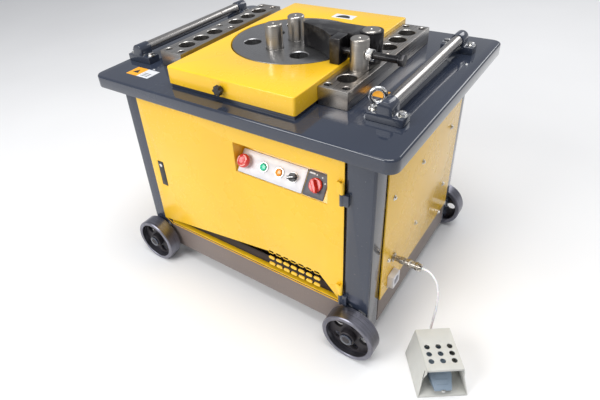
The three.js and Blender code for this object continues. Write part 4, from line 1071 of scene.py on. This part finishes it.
class BENDER_OT_door(bpy.types.Operator):
    """The door sheet with its vents, recess, hinges and latch"""
    bl_idname = "bender.door"
    bl_label = "Door"

    def execute(self, context):
        low, high = local("door")
        left, right, bottom, top = low.x, 355.7, low.z, high.z
        latch_low, latch_high = local("door_latch")
        face = DOOR_FACE
        holes = [rounded(RECESS["left"], RECESS["right"], RECESS["low"], RECESS["high"], 2.5, 4),
                 rounded(latch_low.x - 0.6, latch_high.x + 0.6, latch_low.z - 0.6, latch_high.z + 1, 2, 3)]
        for row in range(3):
            for column in range(7):
                x, z = 105 + 27.4 * column, 184 + 25.3 * row
                holes.append(rounded(x - 9.5, x + 9.5, z - 4, z + 4, 4, 6))
        rows = edge_rows(-1.5, 1.5, 1.3, 3)
        sheet = plate(self.outline(left, right, bottom, top), holes, rows)
        upright = Matrix.Translation((0, face + 1.5, 0)) @ Matrix.Rotation(math.pi / 2, 4, "X")
        door = Piece("door_finished", "yellow", "black")
        door.add(moved(sheet, upright))
        self.recess(door, face)
        self.frame_strips(door, face, bottom, top)
        pocket = [(latch_low.x - 3, latch_high.x + 3), (face + 12, face + 14),
                  (latch_low.z - 3, latch_high.z + 3)]
        door.add(slab(*pocket, 0.3), 1)
        for z0, z1 in ((524, 594), (161, 235)):
            half = (z0 + z1) / 2
            barrel = [(0, half + 0.5), (5.6, half + 0.5), (6, half + 1), (6, z1 - 1), (5.4, z1), (0, z1)]
            door.add(lathe(barrel, (352.5, -358, 0), steps=32))
            door.add(slab((338.5, 352.5), (-360, -356), (half + 0.5, z1), 0.5))
            door.add(slab((338.5, 347.5), (-358, face + 0.5), (half + 0.5, z1), 0.4))
        door.done("door", ("door",))
        self.latch(latch_low, latch_high)
        return {"FINISHED"}

    def outline(self, left, right, bottom, top):
        """The sheet's outline, with its lower left corner rounded off over the wheel."""
        def edge(grow):
            r = 4 + grow
            clear = WHEEL_ROOM - grow
            a, b, c, d = left - grow, right + grow, bottom - grow, top + grow
            start = math.degrees(math.acos((a - WHEEL_AXLE[0]) / clear))
            end = math.degrees(math.asin((c - WHEEL_AXLE[1]) / clear))
            return (arc(b - r, c + r, r, -90, 0, 4) + arc(b - r, d - r, r, 0, 90, 4)
                    + arc(a + r, d - r, r, 90, 180, 4) + arc(*WHEEL_AXLE, clear, start, end, 10))
        return edge

    def recess(self, door, face):
        """The wedge-shaped recess, folded from sheet: its open mouth is flush with the door."""
        left, right, low, high = (RECESS[k] for k in ("left", "right", "low", "high"))
        depth = (high - low) * math.tan(RECESS["lean"])
        start = face + 1.5
        bm = bmesh.new()
        mouth = [bm.verts.new(p) for p in ((left, start, low), (right, start, low), (right, start, high),
                                           (left, start, high))]
        back_low = [bm.verts.new((x, face + 3, low)) for x in (left, right)]
        back_high = [bm.verts.new((x, face + 3 + depth, high)) for x in (left, right)]
        bm.faces.new((mouth[0], mouth[1], back_low[1], back_low[0]))
        bm.faces.new((back_low[0], back_low[1], back_high[1], back_high[0]))
        bm.faces.new((mouth[3], mouth[2], back_high[1], back_high[0]))
        bm.faces.new((mouth[0], back_low[0], back_high[0], mouth[3]))
        bm.faces.new((mouth[1], back_low[1], back_high[1], mouth[2]))
        bmesh.ops.recalc_face_normals(bm, faces=bm.faces)
        bm.faces.ensure_lookup_table()
        inward = bm.faces[1].normal.y < 0
        bmesh.ops.solidify(bm, geom=bm.faces[:], thickness=2.0 if inward else -2.0)
        bmesh.ops.recalc_face_normals(bm, faces=bm.faces)
        door.add(bm)

    def frame_strips(self, door, face, bottom, top):
        left, right = -344, 344
        depth = (face + 2.5, face + 18)
        for x in ((left, left + 3), (right - 3, right)):
            door.add(slab(x, depth, (bottom + 6, top - 6), 0.5))
        for z in ((bottom + 6, bottom + 9), (top - 9, top - 6)):
            door.add(slab((left, right), depth, z, 0.5))

    def latch(self, low, high):
        latch = Piece("door_latch_finished", "black", "zinc")
        latch.add(slab((low.x, high.x), (low.y, high.y), (low.z, high.z), 1.6, 3))
        x = (low.x + high.x) / 2
        finger = [(x - 7, x + 7), (low.y - 0.1, low.y + 1.2), (low.z + 8, low.z + 30)]
        latch.add(slab(*finger, 0.5, 2))
        latch.add(lathe([(0, low.y - 0.4), (6, low.y - 0.4), (6.6, low.y + 0.8), (0, low.y + 0.8)],
                        (x, 0, high.z - 14), "Y", 32), 1)
        latch.done("latch", ("door_latch",))


class BENDER_OT_controls(bpy.types.Operator):
    """The control plate, push buttons, selector and main switch"""
    bl_idname = "bender.controls"
    bl_label = "Controls"

    def execute(self, context):
        panel = on_panel()
        up = 36
        spots = {"stop": 27.5, "start": 91, "reverse": 143.5, "selector": 189.5, "main": 260}
        plates = Piece("control_plate_finished", "white", "black", "bezel")
        holes = [circle(spots[k], up, 11.6, 40) for k in ("stop", "start", "reverse", "selector")]
        plates.add(moved(plate(rounded(8, 225, 2, 70, 3, 4), holes, edge_rows(0.9, 2.0, 0.3, 2)), panel))
        plates.add(moved(plate(rounded(7, 226, 1, 71, 3, 4), holes, edge_rows(0.3, 1.0, 0.2, 1)), panel), 1)
        for key in ("stop", "start", "reverse", "selector"):
            ring = [(11.6, 1.5), (15.6, 1.5), (15.6, 2.6), (14.75, 3.0), (14.2, 6.0), (11.6, 6.0),
                    (11.6, 1.5)]
            plates.add(moved(lathe(ring, (spots[key], up, 0), steps=56), panel), 2)
        plates.done("door", ("control_plate",))
        switch = Piece("switch_plate_finished", "grey", "label_white")
        switch.add(moved(plate(rounded(228, 292, 2, 72, 2, 4), [circle(spots["main"], up, 11.6, 40)],
                               edge_rows(0.3, 3, 0.6, 2)), panel))
        for angle in (100, 62, 24):
            a, b = spaced(27, 1, angle, spots["main"], up)[0]
            switch.add(moved(lathe(drum(2, 2.9, 3.2), (a, b, 0), steps=20), panel), 1)
        switch.add(moved(slab((232, 250), (62, 66), (2.9, 3.15), 0.05, 1), panel), 1)
        switch.done("door", ("switch_plate",))
        self.emergency_stop(panel, spots["stop"], up)
        self.push("start_button", "green", panel, spots["start"], up)
        self.push("reverse_button", "orange", panel, spots["reverse"], up)
        self.selector(panel, spots["selector"], up)
        self.main_switch(panel, spots["main"], up)
        return {"FINISHED"}

    def emergency_stop(self, panel, x, y):
        profile = [(0, -9.5), (10.4, -9.5), (10.4, 11), (17.5, 11), (19.4, 12), (20, 14), (20, 17.5)]
        profile += [(19.4, 20), (17.6, 22.4), (14.5, 24), (10.5, 24.6), (9.6, 23.9), (0, 23.6)]
        stop = Piece("e_stop_finished", "red", "pink")
        stop.add(moved(lathe(profile, (x, y, 0)), panel))
        for start in (20, 140, 260):
            sweep = arc(0, 0, 16.4, start, start + 70, 10) + arc(0, 0, 13.2, start + 70, start, 10)
            stop.add(moved(extruded([(x + a, y + b) for a, b in sweep], 23.4, 24.4, 0.15, 1), panel), 1)
        stop.done("e_stop", ("e_stop",))

    def push(self, node, finish, panel, x, y):
        profile = [(0, -9.5), (10.4, -9.5), (10.4, 8.6), (9.8, 9.7), (8.4, 10.3), (0, 10.9)]
        button = Piece(f"{node}_finished", finish)
        button.add(moved(lathe(profile, (x, y, 0), steps=56), panel))
        button.done(node, (node,))

    def selector(self, panel, x, y):
        knob = Piece("selector_knob_finished", "black", "bezel")
        neck = [(0, -9.5), (10.4, -9.5), (10.4, 7), (12.4, 7.2), (12.4, 10.5), (11.4, 11.5), (0, 11.5)]
        knob.add(moved(lathe(neck, (x, y, 0), steps=56), panel))
        outline = [(-12, -4.2), (12, -4.2)] + arc(9, 0, 4.2, -80, 80, 8) + [(-12, 4.2)]
        lever = extruded(outline, 11, 20.4, 1.0, 2)
        spin = Matrix.Translation((x, y, 0)) @ Matrix.Rotation(math.radians(20), 4, "Z")
        knob.add(moved(lever, panel @ spin))
        knob.add(moved(slab((-12, 8), (-0.7, 0.7), (20.2, 20.8), 0.1, 1), panel @ spin), 1)
        knob.done("selector", ("selector_knob",))

    def main_switch(self, panel, x, y):
        spin = Matrix.Translation((x, y, 0)) @ Matrix.Rotation(math.radians(-58), 4, "Z")
        switch = Piece("main_switch_finished", "red", "pink")
        dome = [(0, -9.5), (10.4, -9.5), (10.4, 3.8), (18.6, 3.8), (19.4, 4.6), (19.4, 8), (17, 10.6),
                (0, 11.6)]
        switch.add(moved(lathe(dome, (x, y, 0), steps=64), panel))
        grip = [(-19, -4.5), (-14, -5.6), (14, -5.2), (25, -3.2)] + arc(25, 0, 3.2, -80, 80, 6)
        grip += [(14, 5.2), (-14, 5.6), (-19, 4.5)]
        switch.add(moved(extruded([(a * 0.8, b) for a, b in grip], 8, 24, 1.4, 3), panel @ spin))
        switch.done("main_switch", ("main_switch",))


class BENDER_OT_drive(bpy.types.Operator):
    """The worm gearbox, belt drive, motor and electrical box inside the cabinet"""
    bl_idname = "bender.drive"
    bl_label = "Drive"

    def execute(self, context):
        refined("gearbox_housing", "cast", "root", 3.0, 2)
        refined("worm_shaft", "gear", "worm", 0.0)
        refined("driven_pulley", "cast", "worm", 0.6)
        refined("motor_pulley", "cast", "motor_rotor", 0.6)
        refined("drive_belt", "rubber", "root", 1.0)
        self.motor()
        refined("electrical_box", "hood", "root", 2.0, 3)
        return {"FINISHED"}

    def motor(self):
        low, high = local("motor_body")
        rotor = middle("motor_pulley")
        ribs = Piece("motor_fins", "cast")
        for i in range(24):
            angle = TAU * i / 24
            if math.sin(angle) < -0.55:
                continue
            fin = slab((-1.5, 1.5), (low.y + 30, high.y - 40), (90, 98.5), 0.5, 1)
            spin = Matrix.Translation((rotor.x, 0, rotor.z)) @ Matrix.Rotation(angle - math.pi / 2, 4, "Y")
            ribs.add(moved(fin, spin))
        ribs.done("root")
        refined("motor_body", "cast", "root", 1.5)


class BENDER_OT_pedal(bpy.types.Operator):
    """The socket and gland on the side, and the foot pedal"""
    bl_idname = "bender.pedal"
    bl_label = "Foot pedal"

    def execute(self, context):
        self.socket()
        self.gland()
        self.hood()
        refined("pedal_base", "hood", "root", 0.6)
        self.treadle()
        return {"FINISHED"}

    def frame(self):
        return Matrix.Translation((639, -317, 0)) @ Matrix.Rotation(math.radians(36.2), 4, "Z")

    def socket(self):
        low, high = local("power_socket")
        box = Piece("power_socket_finished", "white", "grey")
        y, z = (low.y + high.y) / 2, (low.z + high.z) / 2
        shape = plate(rounded(-22.5, 22.5, -22.5, 22.5, 4, 5), [circle(0, 0, 15, 40)],
                      edge_rows(low.x, high.x, 1.8, 3), [(low.x, 0), (high.x - 1, 0), (high.x, 1)])
        box.add(moved(shape, Matrix.Translation((0, y, z)) @ TURN["X"]))
        box.add(lathe(drum(14.9, low.x + 0.2, low.x + 8), (0, y, z), "X", 40), 1)
        box.done("root", ("power_socket",))

    def gland(self):
        low, high = local("cable_gland")
        y, z = (low.y + high.y) / 2, (low.z + high.z) / 2
        x = low.x
        end = high.x
        gland = Piece("cable_gland_finished", "gland")
        body = [(0, x), (14, x), (14, x + 4), (8.4, x + 5), (8.4, x + 20), (10.4, x + 21), (10.4, x + 34),
                (9, x + 36), (10.4, x + 38), (10.4, end - 16), (0, end - 16)]
        gland.add(lathe(body, (0, y, z), "X", 48))
        gland.add(hexagon(21, end - 40, end - 30, (0, y, z), "X", 15))
        cap = [(4.4, end - 17), (11.6, end - 17), (12.4, end - 15), (12.4, end - 11), (11, end - 10),
               (11, end - 6), (4.4, end - 6), (4.4, end - 17)]
        gland.add(lathe(cap, (0, y, z), "X", 48))
        for i in range(8):
            tooth = slab((end - 7, end - 0.2), (-2.6, 2.6), (5.6, 11.2), 0.5)
            spin = Matrix.Translation((0, y, z)) @ Matrix.Rotation(TAU * i / 8, 4, "X")
            gland.add(moved(tooth, spin))
        gland.done("root", ("cable_gland",))

    def hood(self):
        """A hood folded from one sheet: top, two leaning sides and the back, with its front open."""
        at = self.frame()
        base, high = 5.3, 107.0
        wide, narrow = 68.0, 49.0
        back, front_low, front_high = 71.0, -71.0, -61.0
        hood = Piece("pedal_hood_finished", "hood", "black")
        holes = [circle(31 * c, -10.5 + 22.5 * r, 7.5, 32) for c in (-1, 0, 1) for r in (-1, 0, 1)]
        top = plate(rounded(-narrow, narrow, front_high, back, 2, 4), holes,
                    edge_rows(high - 2.5, high, 0.8, 2))
        hood.add(moved(top, at))
        for side in (-1, 1):
            outline = [(back, base), (back, high - 2), (front_high + 1, high - 2)]
            outline += [(front_high - 1, high - 14), (front_low + 16, 62), (front_low + 9, 40)]
            outline += [(front_low + 3, 18), (front_low, base)]
            wall = extruded(outline, -1.3, 1.3, 0.6, 2, "X")
            tall = high - base
            lean = math.atan2(side * (wide - narrow), tall)
            place = Matrix.Translation((side * (wide - 1.4), 0, base)) @ Matrix.Rotation(-lean, 4, "Y")
            hood.add(moved(wall, at @ place @ Matrix.Translation((0, 0, -base))))
        panel = [(-wide + 1, base), (wide - 1, base), (narrow - 1, high - 1), (-narrow + 1, high - 1)]
        hood.add(moved(extruded(panel, back - 2.6, back, 0.6, 2, "Y"), at))
        lip = slab((-narrow + 3, narrow - 3), (front_high + 0.5, front_high + 2.5),
                   (high - 8, high - 1.5), 0.5)
        hood.add(moved(lip, at))
        # The slot on the hood's side is a thin black strip: painted shade standing in for the dark opening of
        # a slot.
        slope = Matrix.Rotation(math.atan2(wide - narrow, high - base), 4, "Y")
        level = 80
        across = wide - (wide - narrow) * (level - base) / (high - base)
        slot = Matrix.Translation((-across, -54, level)) @ slope @ Matrix.Rotation(math.radians(-12), 4, "X")
        hood.add(moved(slab((-0.5, 0.5), (-1.4, 1.4), (-14, 14), 0.3, 1), at @ slot), 1)
        hood.done("root", ("pedal_hood",))

    def treadle(self):
        at = self.frame()
        treadle = Piece("pedal_treadle_finished", "treadle", "zinc")
        profile = [(-70, 24), (-71, 28), (-69, 31.5), (-38, 46), (34, 60), (50, 56), (50, 40), (34, 40),
                   (20, 44), (-36, 34)]
        rear, front = 35.0, 23.0
        blade = extruded(profile, -rear, rear, 0, 1, "X")
        for vert in blade.verts:
            if vert.co.y < -20:
                share = min(1, (-20 - vert.co.y) / 50)
                vert.co.x *= 1 - (1 - front / rear) * share
        treadle.add(moved(bevelled(blade, 1.6, 3), at))
        for i in range(5):
            y = -60 + 12 * i
            z = 31.5 + (y + 69) * 0.468
            treadle.add(moved(slab((-15 - i, 15 + i), (y, y + 4), (z - 1, z + 1.4), 0.8), at))
        tip = [(2.6, 24), (5.6, 24), (5.6, 30.4), (2.6, 30.4), (2.6, 24)]
        treadle.add(moved(lathe(tip, (0, -69, 0), steps=32), at), 1)
        treadle.add(moved(lathe(drum(3.9, -37.8, 37.8), (0, 40, 46), "X", 24), at), 1)
        treadle.done("treadle", ("pedal_treadle",))


class BENDER_PT_panel(bpy.types.Panel):
    """Lists the steps that build the machine's looks"""
    bl_label = "Rebar bender"
    bl_space_type = "VIEW_3D"
    bl_region_type = "UI"
    bl_category = "Bender"

    def draw(self, context):
        for group in (context.scene.bender_sizes, context.scene.bender_colours):
            for name in group.__annotations__:
                self.layout.prop(group, name)
        for step in STEPS:
            self.layout.operator(step.bl_idname)


STEPS = (
    BENDER_OT_stage, BENDER_OT_cable, BENDER_OT_cabinet, BENDER_OT_table, BENDER_OT_turntable,
    BENDER_OT_rails, BENDER_OT_stop, BENDER_OT_rollers, BENDER_OT_wheels, BENDER_OT_door,
    BENDER_OT_controls, BENDER_OT_drive, BENDER_OT_pedal,
)
CLASSES = (BenderSizes, BenderColours, *STEPS, BENDER_PT_panel)


def register():
    for item in CLASSES:
        bpy.utils.register_class(item)
    bpy.types.Scene.bender_sizes = bpy.props.PointerProperty(type=BenderSizes)
    bpy.types.Scene.bender_colours = bpy.props.PointerProperty(type=BenderColours)


def unregister():
    del bpy.types.Scene.bender_colours
    del bpy.types.Scene.bender_sizes
    for item in reversed(CLASSES):
        bpy.utils.unregister_class(item)


def main():
    register()
    make_materials()
    for step in STEPS:
        group, name = step.bl_idname.split(".")
        getattr(getattr(bpy.ops, group), name)()


if __name__ == "__main__":
    main()
